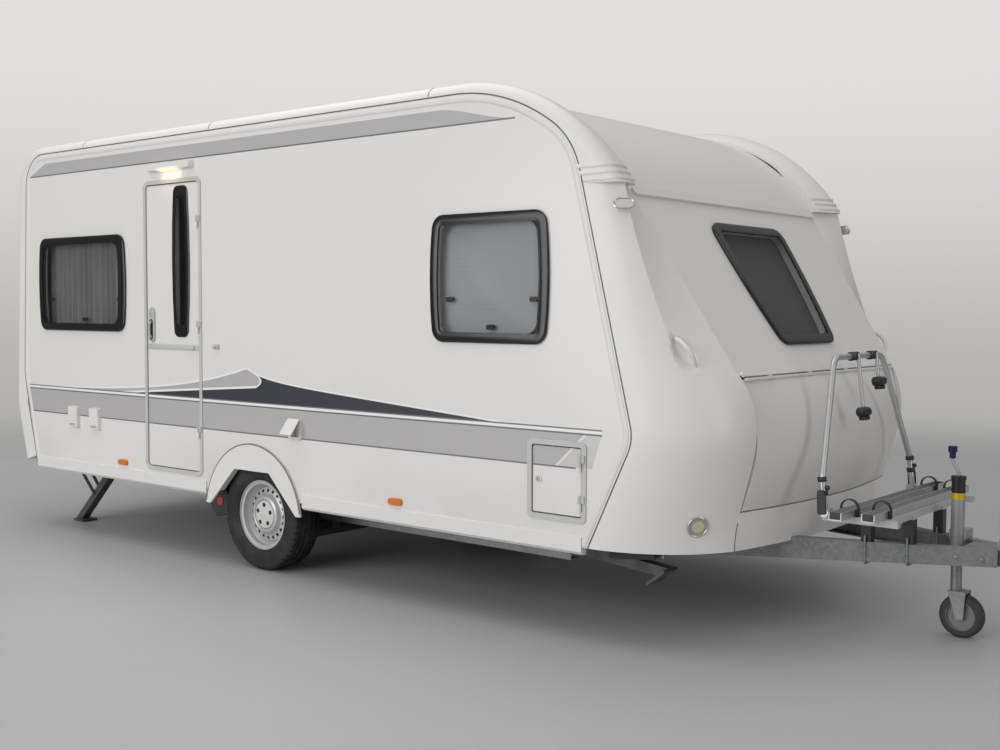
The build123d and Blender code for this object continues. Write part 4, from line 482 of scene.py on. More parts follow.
# The wall below the tread: place across, drop of radius
wall = np.array([
    (81.5, 6.0), (86.0, 9.5), (89.0, 14.0), (90.5, 19.0), (91.6, 24.0), (93.0, 25.0), (93.6, 29.0),
    (93.4, 30.0), (96.0, 46.0), (97.2, 62.0), (97.5, 70.0), (96.5, 80.0), (94.0, 90.0), (93.8, 91.0),
    (92.0, 96.0), (90.2, 97.0), (86.0, 106.0), (80.0, 114.0), (70.0, 116.6), (66.5, 132.0),
]) / 1000.0
across = np.concatenate([crown, wall[:, 0]])
across = np.concatenate([across, -across[:0:-1]])
drop = np.concatenate([0.004 * (crown / TREAD_HALF) ** 2 + 0.0075 * grooved, wall[:, 1]])
drop = np.concatenate([drop, drop[:0:-1]])
# Slots across the ribs: share of a pitch, shoulder slots and notches
share = np.array([0.0, 0.05, 0.06, 0.20, 0.21, 0.44, 0.45, 0.63, 0.64])
pitch = (np.arange(PITCHES)[:, None] + share).ravel()
cut = np.tile(share, PITCHES)[:, None]
reach = np.abs(across)[None, :]
shoulder = (reach > 0.0568) & (reach < 0.0905) & (drop < 0.0195)[None, :] & (cut > 0.445) & (cut < 0.635)
notch = (reach > 0.0245) & (reach < 0.0475) & (cut > 0.055) & (cut < 0.205)
drop = drop[None, :] + 0.0055 * shoulder + 0.0045 * notch
tread_angle = pitch[:, None] * 2.0 * math.pi / PITCHES + np.minimum(reach, TREAD_HALF) * 1.1
disc_share = half_pitch * np.tan(np.linspace(-math.pi / 4.0, math.pi / 4.0, 9))[:-1]
disc_turn = (2.0 * half_pitch * np.arange(VENTS)[:, None] + disc_share).ravel()[None]
cover_line = [
    (0, 0.042), (0.0805, 0.042), (0.0805, 0.052), (0.077, 0.0575), (0.068, 0.0605), (0.040, 0.0615),
    (0.018, 0.0620), (0.016, 0.0632), (0, 0.0635),
]
sleeve_line = [(0.016, -0.038), (0.036, -0.038), (0.036, 0.045), (0.016, 0.045), (0.016, -0.038)]
seat_line = [(0, 0), (0.0125, 0), (0.0125, 0.0012), (0, 0.0012)]
head_line = [(0, 0.001), (0.0085, 0.001), (0.0085, 0.003), (0.007, 0.004), (0, 0.004)]


def wheel_face(section, angle, hub, out_axis):
    """Part of a pressed disc: (radius, height) points at angles about the hub."""
    section = section if section.ndim == 3 else section[:, None]
    ring = np.cos(angle)[..., None] * (1.0, 0.0, 0.0) + np.sin(angle)[..., None] * (0.0, 0.0, 1.0)
    return patch(hub + section[..., :1] * ring + section[..., 1:] * out_axis, (False, True))


for sign, side in ((-1, "right"), (1, "left")):
    low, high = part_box(f"tyre_{side}")
    hub = np.array((low + high) / 2.0)
    radius = (high.z - low.z) / 2.0
    out = radius - drop
    tread = np.stack(np.broadcast_arrays(out * np.cos(tread_angle), across, out * np.sin(tread_angle)), -1)
    tread = [patch(hub + tread, (True, True))]
    tyre = fit(f"tyre_tread_{side}", tread, rubber, f"wheel_{side}", 32.0)
    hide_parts(f"tyre_{side}")
    out_axis = np.array([0.0, sign, 0.0])
    parts = [
        lathe(np.concatenate([rim_line, rim_line[::-1] - (0.005, 0.0), rim_line[:1]]), hub, out_axis, 96),
        lathe(sleeve_line, hub, out_axis),
        wheel_face(np.concatenate([disc_edge, disc_edge[::-1] - (0.0, STEEL)]), disc_turn, hub, out_axis),
        wheel_face(np.concatenate([disc_dome, disc_dome[::-1] - (0.0, STEEL)]), disc_turn, hub, out_axis),
    ]
    for middle in 2.0 * half_pitch * np.arange(VENTS):
        parts.append(wheel_face(np.stack([vent_reach, vent_height], -1), middle + vent_swing, hub, out_axis))
    rim = fit(f"wheel_rim_steel_{side}", parts, silver, f"wheel_{side}", 30.0)
    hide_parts(f"wheel_rim_{side}")
    cover = [lathe(cover_line, hub, out_axis, 64)]
    fit(f"wheel_cover_{side}", cover, cover_white, f"wheel_{side}")
    seats = []
    heads = []
    for angle in once_round(BOLTS) + 0.3:
        at = hub + out_axis * COVER_FACE + BOLT_RING * np.array([math.cos(angle), 0.0, math.sin(angle)])
        seats.append(lathe(seat_line, at, out_axis, 24))
        heads.append(lathe(head_line, at, out_axis, 6))
    fit(f"wheel_bolt_seats_{side}", seats, black, f"wheel_{side}")
    stem = hub + np.array([0.168, sign * 0.036, 0.0])
    heads.append(tube([stem, stem + out_axis * 0.03], 0.0045, (1.0, 0.0, 0.0), 10))
    fit(f"wheel_bolts_{side}", heads, stay_black, f"wheel_{side}")

# The floor is a bonded sandwich board, sealed with dark resin underneath. It is screwed to the frame and
# carries the walls on its edge.
board = mottled("floor_board", (0.13, 0.125, 0.115), (0.07, 0.068, 0.065), (0.55, 0.8), 3.0, 0.3)
dress(board, "floor_panel")

# The side walls, the entrance door and the service doors are bonded sheets with a white lacquer. Their
# stripes are vinyl film: a grey band between fine lines, a navy wedge under a grey swoosh that rises over
# the wheel, and one grey stripe below the roof. The formulas give x along and z up, in metres.
lacquer, shader, where = coating("white_lacquer", Coat_Weight=0.25, Coat_Roughness=0.12)
x, y, z = axes(where)
WHITE = (0.80, 0.785, 0.765)
GREY = (0.47, 0.462, 0.462)
PALE_GREY = (0.60, 0.592, 0.585)
NAVY = (0.040, 0.042, 0.056)
BRIGHT = (0.90, 0.895, 0.885)
LINE = (0.17, 0.17, 0.18)
MUD = (0.42, 0.40, 0.37)
PEAK_X = -0.824
SOFT = 0.0012


def between(value, low, high):
    """1 between two values and 0 outside, with a soft edge."""
    return step(value, low - SOFT, low + SOFT) * (1.0 - step(value, high - SOFT, high + SOFT))


def above(value, low):
    """1 above a value and 0 below."""
    return step(value, low - SOFT, low + SOFT)


def below(value, high):
    """0 above a value and 1 below."""
    return 1.0 - step(value, high - SOFT, high + SOFT)


dirt = grain(where, 1.3, 6.0)
slant = x - 1.07 * (z - 0.78)
band = between(z, 0.785, 0.931)
reach = below(x, 1.608) * above(x, -3.17)
over_line = above(z, 0.955)
crest = 0.94 + 0.2 * 2.718 ** ((x - PEAK_X) / 0.75)
floor_line = 1.101 + 0.0685 * x
nose = x + 31.0 * (z - 1.078) * (z - 1.078)
swoosh = below(z - crest, 0.0) * above(z - floor_line, 0.0) * below(nose, -0.705)
outline = below(z - crest, 0.010) * above(z - floor_line, -0.012) * below(nose, -0.690)
ridge = 1.028 - 0.0694 * x + 0.055 * 2.718 ** ((PEAK_X - x) / 0.17)
ahead_of = above(x, PEAK_X)
top = ahead_of * ridge + (1.0 - ahead_of) * crest
wedge = below(z - top, 0.0) * over_line * above(x, -2.25)
# Painted highlight: a bright band along the top edge of the navy wedge.
wedge_edge_highlight = below(z - top, 0.009) * over_line * above(x, -2.25) * below(x, 1.09)
rear_end = 0.406 * (-2.903 - x)
stripe_top = 2.435 - 0.078 * step(x, 0.62, 1.13) - rear_end.apply("MAXIMUM")
splash = (1.0 - step(z, 0.40, 0.85)) * step(dirt, 0.35, 0.8)
film = shade(dirt, WHITE, (0.765, 0.75, 0.73))
# Layers over the white, from the lowest: where, colour
for layer, colour in (
    (band * below(slant, 1.347), GREY),
    (band * above(slant, 1.362) * below(x - 0.34 * (z - 0.77), 1.55), PALE_GREY),
    (between(z, 0.777, 0.785) * below(x, 1.478), LINE),
    (wedge_edge_highlight, BRIGHT),
    (wedge, NAVY),
    (outline * over_line, BRIGHT),
    (swoosh * over_line, GREY),
    (between(z, 0.931, 0.960) * reach, LINE),
    (between(z, 0.9395, 0.953) * reach, BRIGHT),
    (above(z, 2.357) * below(z - stripe_top, 0.0) * below(x, 1.112), GREY),
    (between(z, 2.352, 2.360) * between(x, -3.10, 1.112), LINE),
    (splash * 0.35, MUD),
):
    film = shade(layer, film, colour)
outside = step(y.apply("ABSOLUTE"), 1.132, 1.138)
film = shade(outside, (0.76, 0.75, 0.735), film)
ripple = grain(where, 26.0, 2.0)
paint(shader, film, dirt * 0.14 + 0.24 + 0.1 * splash, relief(ripple, 0.06))
for side in ("right", "left"):
    dress(lacquer, f"side_wall_{side}", f"service_door_{side}")
dress(lacquer, "entrance_door")

# Sills close the foot of the walls and a moulded lip rims each wheel arch. Both are white plastic, held
# by capped screws, and a grey rubber bead finishes the arch.
SIDE = 1.150


def on_wall(sign, x, z):
    """The plane of a side wall at a place: its middle, to the right as seen from outside, up, outwards."""
    return plane((x, sign * SIDE, z), (-sign, 0.0, 0.0), (0.0, 0.0, 1.0), (0.0, sign, 0.0))


def strip(path, section, place):
    """A moulding: a section of (offset across, height) carried along a flat path, with closed ends."""
    along = np.gradient(path, axis=0)
    across = np.stack([along[:, 1], -along[:, 0]], 1)
    across /= np.linalg.norm(across, axis=1)[:, None]
    section = np.asarray(section, float)
    flat = path[:, None] + section[None, :, :1] * across[:, None]
    origin, u, v, n = place
    return capped(origin + flat[..., :1] * u + flat[..., 1:] * v + section[None, :, 1:] * n)


def half_round(width, height, steps=9):
    """A low arch in section, flat underneath."""
    turn = np.linspace(0.0, math.pi, steps)
    return np.stack([-np.cos(turn) * width / 2.0, np.sin(turn) * height], 1)


white_plastic = mottled("white_plastic", (0.80, 0.79, 0.775), (0.74, 0.73, 0.715), (0.30, 0.46), 2.2, 0.05)
grey_rubber = mottled("grey_rubber", (0.26, 0.26, 0.262), (0.19, 0.19, 0.192), (0.5, 0.7), 9.0, 0.15)
dress(white_plastic, "side_skirts")
ARCH_RADIUS = 0.407
ARCH_FOOT = 0.372
CAP_Z = 0.462
cap_line = [(0, 0.0), (0.0065, 0.0), (0.006, 0.002), (0.003, 0.0028), (0, 0.003)]
beads = []
caps = []
for sign in (-1, 1):
    low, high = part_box("tyre_right" if sign < 0 else "tyre_left")
    middle = (low + high) / 2.0
    rise = math.asin((ARCH_FOOT - middle.z) / ARCH_RADIUS)
    turn = np.linspace(math.pi - rise, rise, 60)
    arch = ARCH_RADIUS * np.stack([np.cos(turn), np.sin(turn)], 1)
    place = on_wall(sign, middle.x, middle.z)
    beads.append(strip(arch, half_round(0.012, 0.0055) + (0.0, 0.0095), place))
    for x in (-2.9, -2.3, -1.75, -0.2, 0.25, 0.7, 1.15):
        origin, u, v, n = on_wall(sign, x, CAP_Z)
        caps.append(lathe(cap_line, origin + n * 0.0005, n, 16))
fit("arch_beads", beads, grey_rubber, "caravan")
fit("sill_screw_caps", caps, white_plastic, "caravan")

# The roof is one glazed sheet, the rear and front are moulded shells, and broad plastic mouldings wrap
# the edges between them. An aluminium awning rail covers each seam from foot to foot, over a dark seal.
# Ribs stiffen the foot of the roof mouldings, and butt joints divide them.
shell_white = mottled(
    "shell_white", (0.80, 0.79, 0.775), (0.75, 0.74, 0.72), (0.28, 0.42), 1.6, 0.05, Coat_Weight=0.15
)
moulding_white = mottled("moulding_white", (0.80, 0.79, 0.78), (0.755, 0.745, 0.73), (0.30, 0.44), 1.9, 0.06)
dress(shell_white, "roof_panel", "rear_wall", "front_wall", "front_apron")
dress(moulding_white, "roof_edge_mouldings", "rear_corner_mouldings", "rear_bumper")
rail_white = mottled("rail_white", (0.80, 0.79, 0.775), (0.72, 0.71, 0.70), (0.26, 0.4), 6.0, 0.05)
seal_grey = mottled("seal_grey", (0.16, 0.16, 0.165), (0.09, 0.09, 0.092), (0.45, 0.65), 12.0, 0.15)
# Seam of the side walls: x, z, radius
seam_table = np.array([
    (-3.060, 0.430, 0.0), (-3.205, 1.030, 0.5), (-3.138, 2.500, 0.21), (1.046, 2.500, 1.03),
    (1.441, 2.243, 0.38), (1.769, 0.926, 0.18), (1.535, 0.430, 0.0),
])
seam = bend(seam_table[:, :2], seam_table[:, 2], 16)
RAIL_INSET = 0.026
rails = []
seals = []
for sign in (-1, 1):
    path = seam * (-sign, 1.0)
    place = on_wall(sign, 0.0, 0.0)
    rails.append(strip(path, half_round(0.030, 0.0045) + (-sign * RAIL_INSET, 0.0), place))
    seals.append(strip(path, half_round(0.007, 0.0015, 5), place))
fit("awning_rails", rails, rail_white, "caravan")
fit("seam_seals", seals, seal_grey, "caravan")

EDGE_ROUND = 0.060
EDGE_FLAT = 1.090
RIM_Z = 2.557
EDGE_FALL = 0.3069
CREST = (1.679, 2.035)
RAKE = math.radians(32.2)
turn = np.linspace(0.0, math.pi / 2.0, 10)
reach = np.linspace(1.075, 0.935, 8)
edge_section = np.concatenate([
    np.stack([EDGE_FLAT + EDGE_ROUND * np.cos(turn), EDGE_ROUND - EDGE_ROUND * np.sin(turn)], 1),
    np.stack([reach, EDGE_FALL - np.sqrt(EDGE_FALL ** 2 - (EDGE_FLAT - reach) ** 2)], 1),
])
turn = np.linspace(0.0, math.pi, 7)
rib = np.stack([np.sin(turn) * 0.0045, -np.cos(turn) * 0.010], 1)
joint = np.array([(-0.001, -0.0025), (0.0008, -0.0025), (0.0008, 0.0025), (-0.001, 0.0025)])
ribs = []
full = np.concatenate([[(1.150, 0.143)], edge_section])
for z in (2.050, 2.080, 2.110):
    along = (z - CREST[1] + full[:, 1] * math.sin(RAKE)) / math.cos(RAKE)
    bulge = 0.45 * np.maximum(along - 0.013, 0.0) ** 2
    x = CREST[0] - along * math.sin(RAKE) - full[:, 1] * math.cos(RAKE) - bulge
    place = plane((0.0, 0.0, z), (1.0, 0.0, 0.0), (0.0, 1.0, 0.0), (0.0, 0.0, 1.0))
    for sign in (-1, 1):
        ribs.append(strip(np.stack([x, sign * full[:, 0]], 1), rib * (-sign, 1.0), place))
fit("moulding_ribs", ribs, moulding_white, "caravan")
joints = []
for x in (0.570, -1.148, -2.45):
    for sign in (-1, 1):
        place = plane((x, 0.0, RIM_Z), (0.0, sign, 0.0), (0.0, 0.0, -1.0), (-1.0, 0.0, 0.0))
        joints.append(strip(edge_section[1:], joint * (-1.0, 1.0), place))
fit("moulding_joints", joints, seal_grey, "caravan")

# The hinged windows are double shells of tinted acrylic, blown to a slight dome, with a black painted
# border over a rubber seal. Pleated blinds close all but the rear right one, where a grey net curtain
# hangs from a rail, and black latches show near the lower edge.
BOW_ROUND = 1.4


def oblong(width, height, radius, steps=8):
    """A rectangle with round corners about the origin."""
    half, rise = width / 2.0, height / 2.0
    return bend([(-half, -rise), (half, -rise), (half, rise), (-half, rise)], radius, steps, True)


def pane_outline(width, height, foot, corner, bow):
    """A window outline: level top and foot, sides bowed outwards, round corners."""
    level = np.array([-0.5, -0.25, 0.0, 0.25, 0.5])
    reach = (foot + width) / 4.0 + level * (width - foot) / 2.0 + bow * (1.0 - (2.0 * level) ** 2)
    right = np.stack([reach, level * height], 1)
    points = np.concatenate([right, (right * (-1.0, 1.0))[::-1]])
    return bend(points, [corner, BOW_ROUND, BOW_ROUND, BOW_ROUND, corner] * 2, 9, True)


def pane(outline, rings, place):
    """A slab with how far each point lies inside the outline, for the painted border."""
    points, faces = slab(outline, rings, place)
    depth = np.concatenate([[0.3], [inset for inset, _ in rings], [0.3]])
    return points, faces, np.stack([np.repeat(depth, len(outline)), np.zeros(len(points))], 1)


tint, shader, where = coating("tinted_acrylic", IOR=1.49)
inset = axes(Wire(where.tree, where.tree.nodes.new("ShaderNodeUVMap").outputs[0]))[0]
smear = grain(where, 2.5, 4.0)
border = 1.0 - step(inset, 0.046, 0.050)
where.feed(shader, {"Base Color": shade(border, (0.020, 0.021, 0.023), (0.012, 0.012, 0.0125))})
where.feed(shader, {"Roughness": smear * 0.06 + 0.03 + border * 0.1, "Alpha": border * 0.82 + 0.18})
lean = math.radians(2.63)
down = 0.5034
BROW_X = 1.575
BROW_Z = 2.035
front_place = plane(
    (BROW_X + math.sin(RAKE) * down, 0.0, BROW_Z - math.cos(RAKE) * down), (0.0, 1.0, 0.0),
    (-math.sin(RAKE), 0.0, math.cos(RAKE)), (math.cos(RAKE), 0.0, math.sin(RAKE)),
)
rear_place = plane(
    (-3.258, 0.0, 1.620), (0.0, -1.0, 0.0),
    (math.sin(lean), 0.0, math.cos(lean)), (-math.cos(lean), 0.0, math.sin(lean)),
)
# Windows: plane, width, height, width at the foot
windows = [(front_place, 0.726, 0.686, 0.560), (rear_place, 1.180, 0.540, 1.180)]
for sign in (-1, 1):
    windows.append((on_wall(sign, -2.478, 1.636), 0.960, 0.607, 0.960))
    windows.append((on_wall(sign, 0.957, 1.630), 0.684, 0.610, 0.684))
rings = [
    (0.004, 0.0102), (0.0, 0.0118), (0.0008, 0.0142), (0.0045, 0.0160), (0.012, 0.0168), (0.040, 0.0172),
    (0.0445, 0.0164), (0.050, 0.0166), (0.062, 0.0170),
]
PANE_CORNER = 0.070
PANE_BOW = 0.020
panes = []
for place, width, height, foot in windows:
    panes.append(pane(pane_outline(width, height, foot, PANE_CORNER, PANE_BOW), rings, place))
depths = np.concatenate([depth for _, _, depth in panes])
glass = [(points, faces) for points, faces, _ in panes]
glass = fit("window_glass", glass, tint, "caravan", 38.0, depths)
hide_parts("window_panes")
seal_black = mottled("seal_black", (0.026, 0.026, 0.027), (0.015, 0.015, 0.016), (0.4, 0.6), 12.0, 0.15)
dress(seal_black, "window_frames")


def ridges(turn):
    """Even ridges between 0 and 1, one for each full turn in radians."""
    return turn.apply("SINE") * 0.5 + 0.5


blind, shader, where = coating("pleated_blind", Sheen_Weight=0.15)
x, y, z = axes(where)
pleat = ridges(z * 314.0)
thread = grain(where, 300.0)
front_part = step(x, 1.2, 1.3)
cloth_tone = shade(pleat * 0.7 + thread * 0.3, (0.62, 0.645, 0.675), (0.575, 0.60, 0.63))
cloth_tone = shade(front_part, cloth_tone, (0.09, 0.092, 0.095))
paint(shader, cloth_tone, thread * 0.15 + 0.75, relief(pleat, 0.12))
dress(blind, "window_blinds")

net, shader, where = coating("net_curtain", Sheen_Weight=0.3)
x, y, z = axes(where)
weave = (x * 2400.0).apply("SINE") * (z * 2400.0).apply("SINE")
drift = grain(where, 6.0, 3.0)
tone = shade(drift, (0.30, 0.30, 0.305), (0.22, 0.22, 0.225))
paint(shader, tone, drift * 0.1 + 0.8, relief(weave * 0.5 + 0.5, 0.2))
FOLDS = 15.0
low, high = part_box("rear_side_curtain")
across = np.linspace(low.x + 0.01, high.x - 0.01, 260)
phase = 2.0 * math.pi * FOLDS * (across - low.x) / (high.x - low.x)
fold = np.sin(phase + 0.8 * np.sin(phase / 3.7)) * (0.7 + 0.3 * np.sin(phase / 5.3))
drop = np.linspace(0.0, 1.0, 40)[:, None]
middle = (low.y + high.y) / 2.0
hang = float(high.z - low.z - 0.04)
depth = middle + 0.0105 * fold * (0.75 + 0.25 * drop)
cloth = np.stack(np.broadcast_arrays(across, depth, high.z - 0.03 - drop * hang), -1)
curtain = fit("net_curtain", [patch(cloth)], net, "caravan")
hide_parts("rear_side_curtain")
rod = np.linspace((low.x, middle, high.z - 0.024), (high.x, middle, high.z - 0.024), 8)
rod = fit("curtain_rail", [tube(rod, 0.006)], rail_white, "caravan")
latch_rings = [(0.001, -0.024), (0.0, -0.022), (0.0, -0.014), (0.003, -0.011)]
latches = []
for place, width, height, foot in windows[2:]:
    origin, u, v, n = place
    end = width / 2.0 - 0.085
    for over, under in ((-end, -0.10), (end, -0.10), (0.0, -height / 2.0 + 0.075)):
        at = (origin + over * u + under * v, u, v, n)
        latches.append(slab(oblong(0.052, 0.024, 0.0119), latch_rings, at))
fit("window_latches", latches, black, "caravan")

# The entrance door is a bonded leaf in an aluminium frame, with a tall dark window whose sides bow out, a
# grey rail across its middle, a sunk handle with a key plate, and a catch that meets one on the wall.
aluminium, shader, where = coating("anodised_aluminium", Metallic=0.8)
streak = grain(where, 40.0, 3.0)
tone = shade(streak, (0.66, 0.66, 0.665), (0.54, 0.54, 0.545))
paint(shader, tone, streak * 0.16 + 0.28, relief(streak, 0.05))
frame_grey = mottled("frame_grey", (0.58, 0.58, 0.575), (0.52, 0.52, 0.515), (0.3, 0.45), 5.0, 0.05)
dress(frame_grey, "door_frames")
low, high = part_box("door_pane")
place = on_wall(-1, (low.x + high.x) / 2.0, (low.z + high.z) / 2.0)
outline = pane_outline(0.134, high.z - low.z, 0.134, 0.045, 0.018)
rings = [
    (0.002, 0.0002), (0.0, 0.0015), (0.0006, 0.0045), (0.003, 0.0064), (0.010, 0.0070), (0.018, 0.0072),
    (0.022, 0.0066), (0.030, 0.0068),
]
points, faces, depths = pane(outline, rings, place)
door_glass = fit("door_glass", [(points, faces)], tint, "door", 38.0, depths)
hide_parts("door_pane")
MID_RAIL_Z = 1.250
rail_grey = mottled("rail_grey", (0.55, 0.57, 0.56), (0.49, 0.51, 0.50), (0.35, 0.5), 6.0, 0.05)
place = on_wall(-1, -1.503, MID_RAIL_Z)
rail = slab(oblong(0.494, 0.034, 0.004, 3), [(0.0, -0.001), (0.0, 0.003), (0.003, 0.0045)], place)
fit("door_middle_rail", [rail], rail_grey, "door")
place = on_wall(-1, -1.310, MID_RAIL_Z)
catch = slab(oblong(0.055, 0.022, 0.006, 4), [(0.0, 0.003), (0.0, 0.012), (0.003, 0.016)], place)
fit("door_catch", [catch], frame_grey, "door")
place = on_wall(-1, -1.088, MID_RAIL_Z + 0.012)
keeper = [
    slab(oblong(0.058, 0.030, 0.008, 4), [(0.0, -0.001), (0.0, 0.010), (0.003, 0.013)], place),
    slab(oblong(0.030, 0.016, 0.005, 4), [(0.0, 0.012), (0.0, 0.020), (0.003, 0.023)], place),
]
fit("door_keeper", keeper, frame_grey, "caravan")
handle_grey = mottled("handle_grey", (0.50, 0.50, 0.495), (0.43, 0.43, 0.425), (0.3, 0.45), 9.0, 0.06)
low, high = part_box("door_handle")
middle = (low + high) / 2.0
proud = -low.y - SIDE
place = on_wall(-1, middle.x, middle.z)
outline = oblong(high.x - low.x, high.z - low.z, 0.0288, 12)
escutcheon = slab(outline, [(0.0, -0.001), (0.0, 0.006), (0.003, 0.011), (0.008, 0.013)], place)
origin, u, v, n = place
grip = proud - 0.008
bar = ((-0.078, 0.010), (-0.070, 0.020), (-0.055, grip), (0.0, grip), (0.012, 0.020), (0.018, 0.010))
bar = bend([origin + up * v + out * n for up, out in bar], 0.008, 5)
bar = tube(bar, 0.0075, (1.0, 0.0, 0.0), 14)
KEY_UP = 0.068
key = [(0, 0.012), (0.014, 0.012), (0.014, 0.016), (0.011, 0.018), (0, 0.018)]
key = lathe(key, origin + KEY_UP * v, n, 24)
handle = fit("door_grip", [escutcheon, bar, key], handle_grey, "door")
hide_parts("door_handle")
# Black sheets in the grip's hollow and in the key's slot: painted shade for the recess and the keyhole.
hollow = oblong(0.040, 0.125, 0.0198, 10) + (0.0, -0.030)
hollow = slab(hollow, [(0.0, 0.0128), (0.0, 0.0136), (0.001, 0.0138)], place)
slot = slab(oblong(0.003, 0.011, 0.001, 3) + (0.0, KEY_UP), [(0.0, 0.0178), (0.0, 0.0184)], place)
fit("door_grip_hollow", [hollow, slot], black, "door")

# Service doors have a white plastic frame with a push lock at one edge. Sockets, the covered inlet and
# the refrigerator vents are moulded in the same white plastic and screwed to the wall.
dress(white_plastic, "wall_sockets", "socket_flap", "fridge_vents")
# Locks of the service doors: side, body, x, z
for sign, body, x, z in ((-1, "hatch_right", 1.2595, 0.717), (1, "hatch_left", -1.7925, 0.730)):
    place = on_wall(sign, x, z)
    origin, u, v, n = place
    ring = lathe([(0, 0.0), (0.016, 0.0), (0.016, 0.004), (0.012, 0.006), (0, 0.006)], origin, n, 28)
    fit(f"{body}_lock", [ring], handle_grey, body)
    # A black sheet in the keyhole: painted shade.
    key = slab(oblong(0.003, 0.012, 0.001, 3), [(0.0, 0.0058), (0.0, 0.0064)], place)
    fit(f"{body}_keyhole", [key], black, body)
# Black sheets in the socket slots: painted shade for the openings.
slots = []
slot_rings = [(0.0, 0.0), (0.0, 0.0246), (0.0003, 0.0248)]
for x in (-2.578, -2.332):
    for z in (0.716, 0.724):
        slots.append(slab(oblong(0.070, 0.003, 0.001, 3), slot_rings, on_wall(-1, x, z)))
fit("socket_slots", slots, black, "caravan")

# An awning lamp over the door is lit along its foot. Amber markers stand along the sills, clear position
# lamps with a yellow bulb and clear markers on bright bases at the front, and red clusters with an amber
# band at the rear, all moulded lenses screwed to the skin.
lit, shader, where = coating("awning_lens", Emission_Strength=0.8)
x, y, z = axes(where)
low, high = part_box("awning_lamp")
centre = (x - (low.x + high.x) / 2.0) / 0.13
glow = (1.0 - step(z, low.z, low.z + 0.030)) * (1.0 - step(centre * centre, 0.2, 1.0))
haze = grain(where, 30.0)
tone = shade(haze, (0.80, 0.79, 0.77), (0.74, 0.73, 0.71))
where.feed(shader, {"Base Color": tone, "Roughness": haze * 0.1 + 0.3})
where.feed(shader, {"Emission Color": shade(glow, (0.0, 0.0, 0.0), (1.0, 0.72, 0.38))})
dress(lit, "awning_lamp")
LAMP_AT = ((low.x + high.x) / 2.0, low.y + 0.006, low.z - 0.004)
warm = soft_panel("awning_glow", 0.16, 0.02, 0.10, (*np.eye(3), LAMP_AT))
warm.color = (1.0, 0.72, 0.42)
amber, shader, where = coating("amber_lens", Coat_Weight=0.6, Coat_Roughness=0.05)
x, y, z = axes(where)
ribbed = ridges((x + y) * 900.0)
haze = grain(where, 40.0)
tone = shade(ribbed * 0.6 + haze * 0.4, (0.80, 0.22, 0.02), (0.55, 0.11, 0.008))
paint(shader, tone, haze * 0.1 + 0.16, relief(ribbed, 0.3))
dress(amber, "side_markers")
clear, shader, where = coating("clear_lens", Coat_Weight=0.8, Coat_Roughness=0.03)
x, y, z = axes(where)
BULB_AT = (1.977, 0.962, 0.557)
aside = y.apply("ABSOLUTE")
reach = ((x - BULB_AT[0]) ** 2.0 + (aside - BULB_AT[1]) ** 2.0 + (z - BULB_AT[2]) ** 2.0) ** 0.5
flute = ridges(z * 900.0)
tone = shade(step(reach, 0.008, 0.030), (0.66, 0.54, 0.22), (0.56, 0.55, 0.47))
tone = shade(between(reach, 0.030, 0.060), tone, (0.34, 0.33, 0.29))
tone = shade(step(reach, 0.20, 0.30), tone, (0.62, 0.61, 0.58))
paint(shader, tone, flute * 0.08 + 0.12, relief(flute, 0.25))
dress(clear, "front_lamps")
cluster, shader, where = coating("rear_cluster", Coat_Weight=0.6, Coat_Roughness=0.05)
x, y, z = axes(where)
low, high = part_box("rear_lamps")
share = (z - low.z) / (high.z - low.z)
ribbed = ridges(z * 1100.0)
tone = shade(above(share, 0.36), (0.62, 0.02, 0.015), (0.78, 0.22, 0.02))
tone = shade(above(share, 0.64), tone, (0.55, 0.018, 0.012))
paint(shader, shade(ribbed * 0.35, tone, (0.2, 0.02, 0.01)), ribbed * 0.06 + 0.14, relief(ribbed, 0.3))
dress(cluster, "rear_lamps")

# The front locker lid hangs on barrels under a white hinge strip, below the front window and its brow
# strip. The corner mouldings beside it hold a grab bar in a scoop, a position lamp and a marker.
lid_white = mottled("lid_white", (0.76, 0.75, 0.735), (0.70, 0.69, 0.675), (0.32, 0.46), 1.8, 0.06)
dress(lid_white, "locker_lid")
dress(white_plastic, "front_trims")
hinge_bar = [(2.114, y, 1.186) for y in np.linspace(-0.805, 0.805, 12)]
fit("lid_hinge_bead", [tube(hinge_bar, 0.0078, (0.0, 0.0, 1.0))], rail_white, "caravan")
cream_bar = mottled("cream_bar", (0.78, 0.76, 0.71), (0.72, 0.70, 0.65), (0.3, 0.42), 9.0, 0.05)
dress(cream_bar, "grab_handles")
corner_white = mottled(
    "corner_white", (0.80, 0.79, 0.78), (0.755, 0.745, 0.73), (0.3, 0.44), 1.9, 0.05, Coat_Weight=0.1
)
# Inner edge of the corner mouldings below the hinge strip: height, x, half width
inner_table = np.array([
    (0.430, 2.060, 0.783), (0.602, 2.085, 0.783), (0.926, 2.161, 0.787), (1.204, 2.098, 0.830),
])
LOCKER_Z = 1.204
SHELL_WALL = 0.022
DISH_DEPTH = 0.026
GRAB_AT = np.array([1.945, -1.032, 1.306])
GRAB_ALONG = np.array([-0.56, -0.17, 0.81])
level = np.linspace(0.430, BROW_Z, 230)[:, None]
front_seam = seam[np.argmax(seam[:, 0] > 1.0):]
seam_x = np.interp(-level, -front_seam[:, 1], front_seam[:, 0])
low_x = np.polyval(np.polyfit(inner_table[:, 0], inner_table[:, 1], 3), level)
low_y = np.polyval(np.polyfit(inner_table[:, 0], inner_table[:, 2], 3), level)
inner_x = np.where(level > LOCKER_Z, BROW_X + (BROW_Z - level) * math.tan(RAKE), low_x)
inner_y = np.where(level > LOCKER_Z, 0.830 + (level - LOCKER_Z) * 0.1083, low_y)
over, aside = inner_x - seam_x, SIDE - inner_y
round_by = (over ** 2 + aside ** 2) / (2.0 * aside)
full_turn = np.arctan2(over / round_by, 1.0 - aside / round_by)


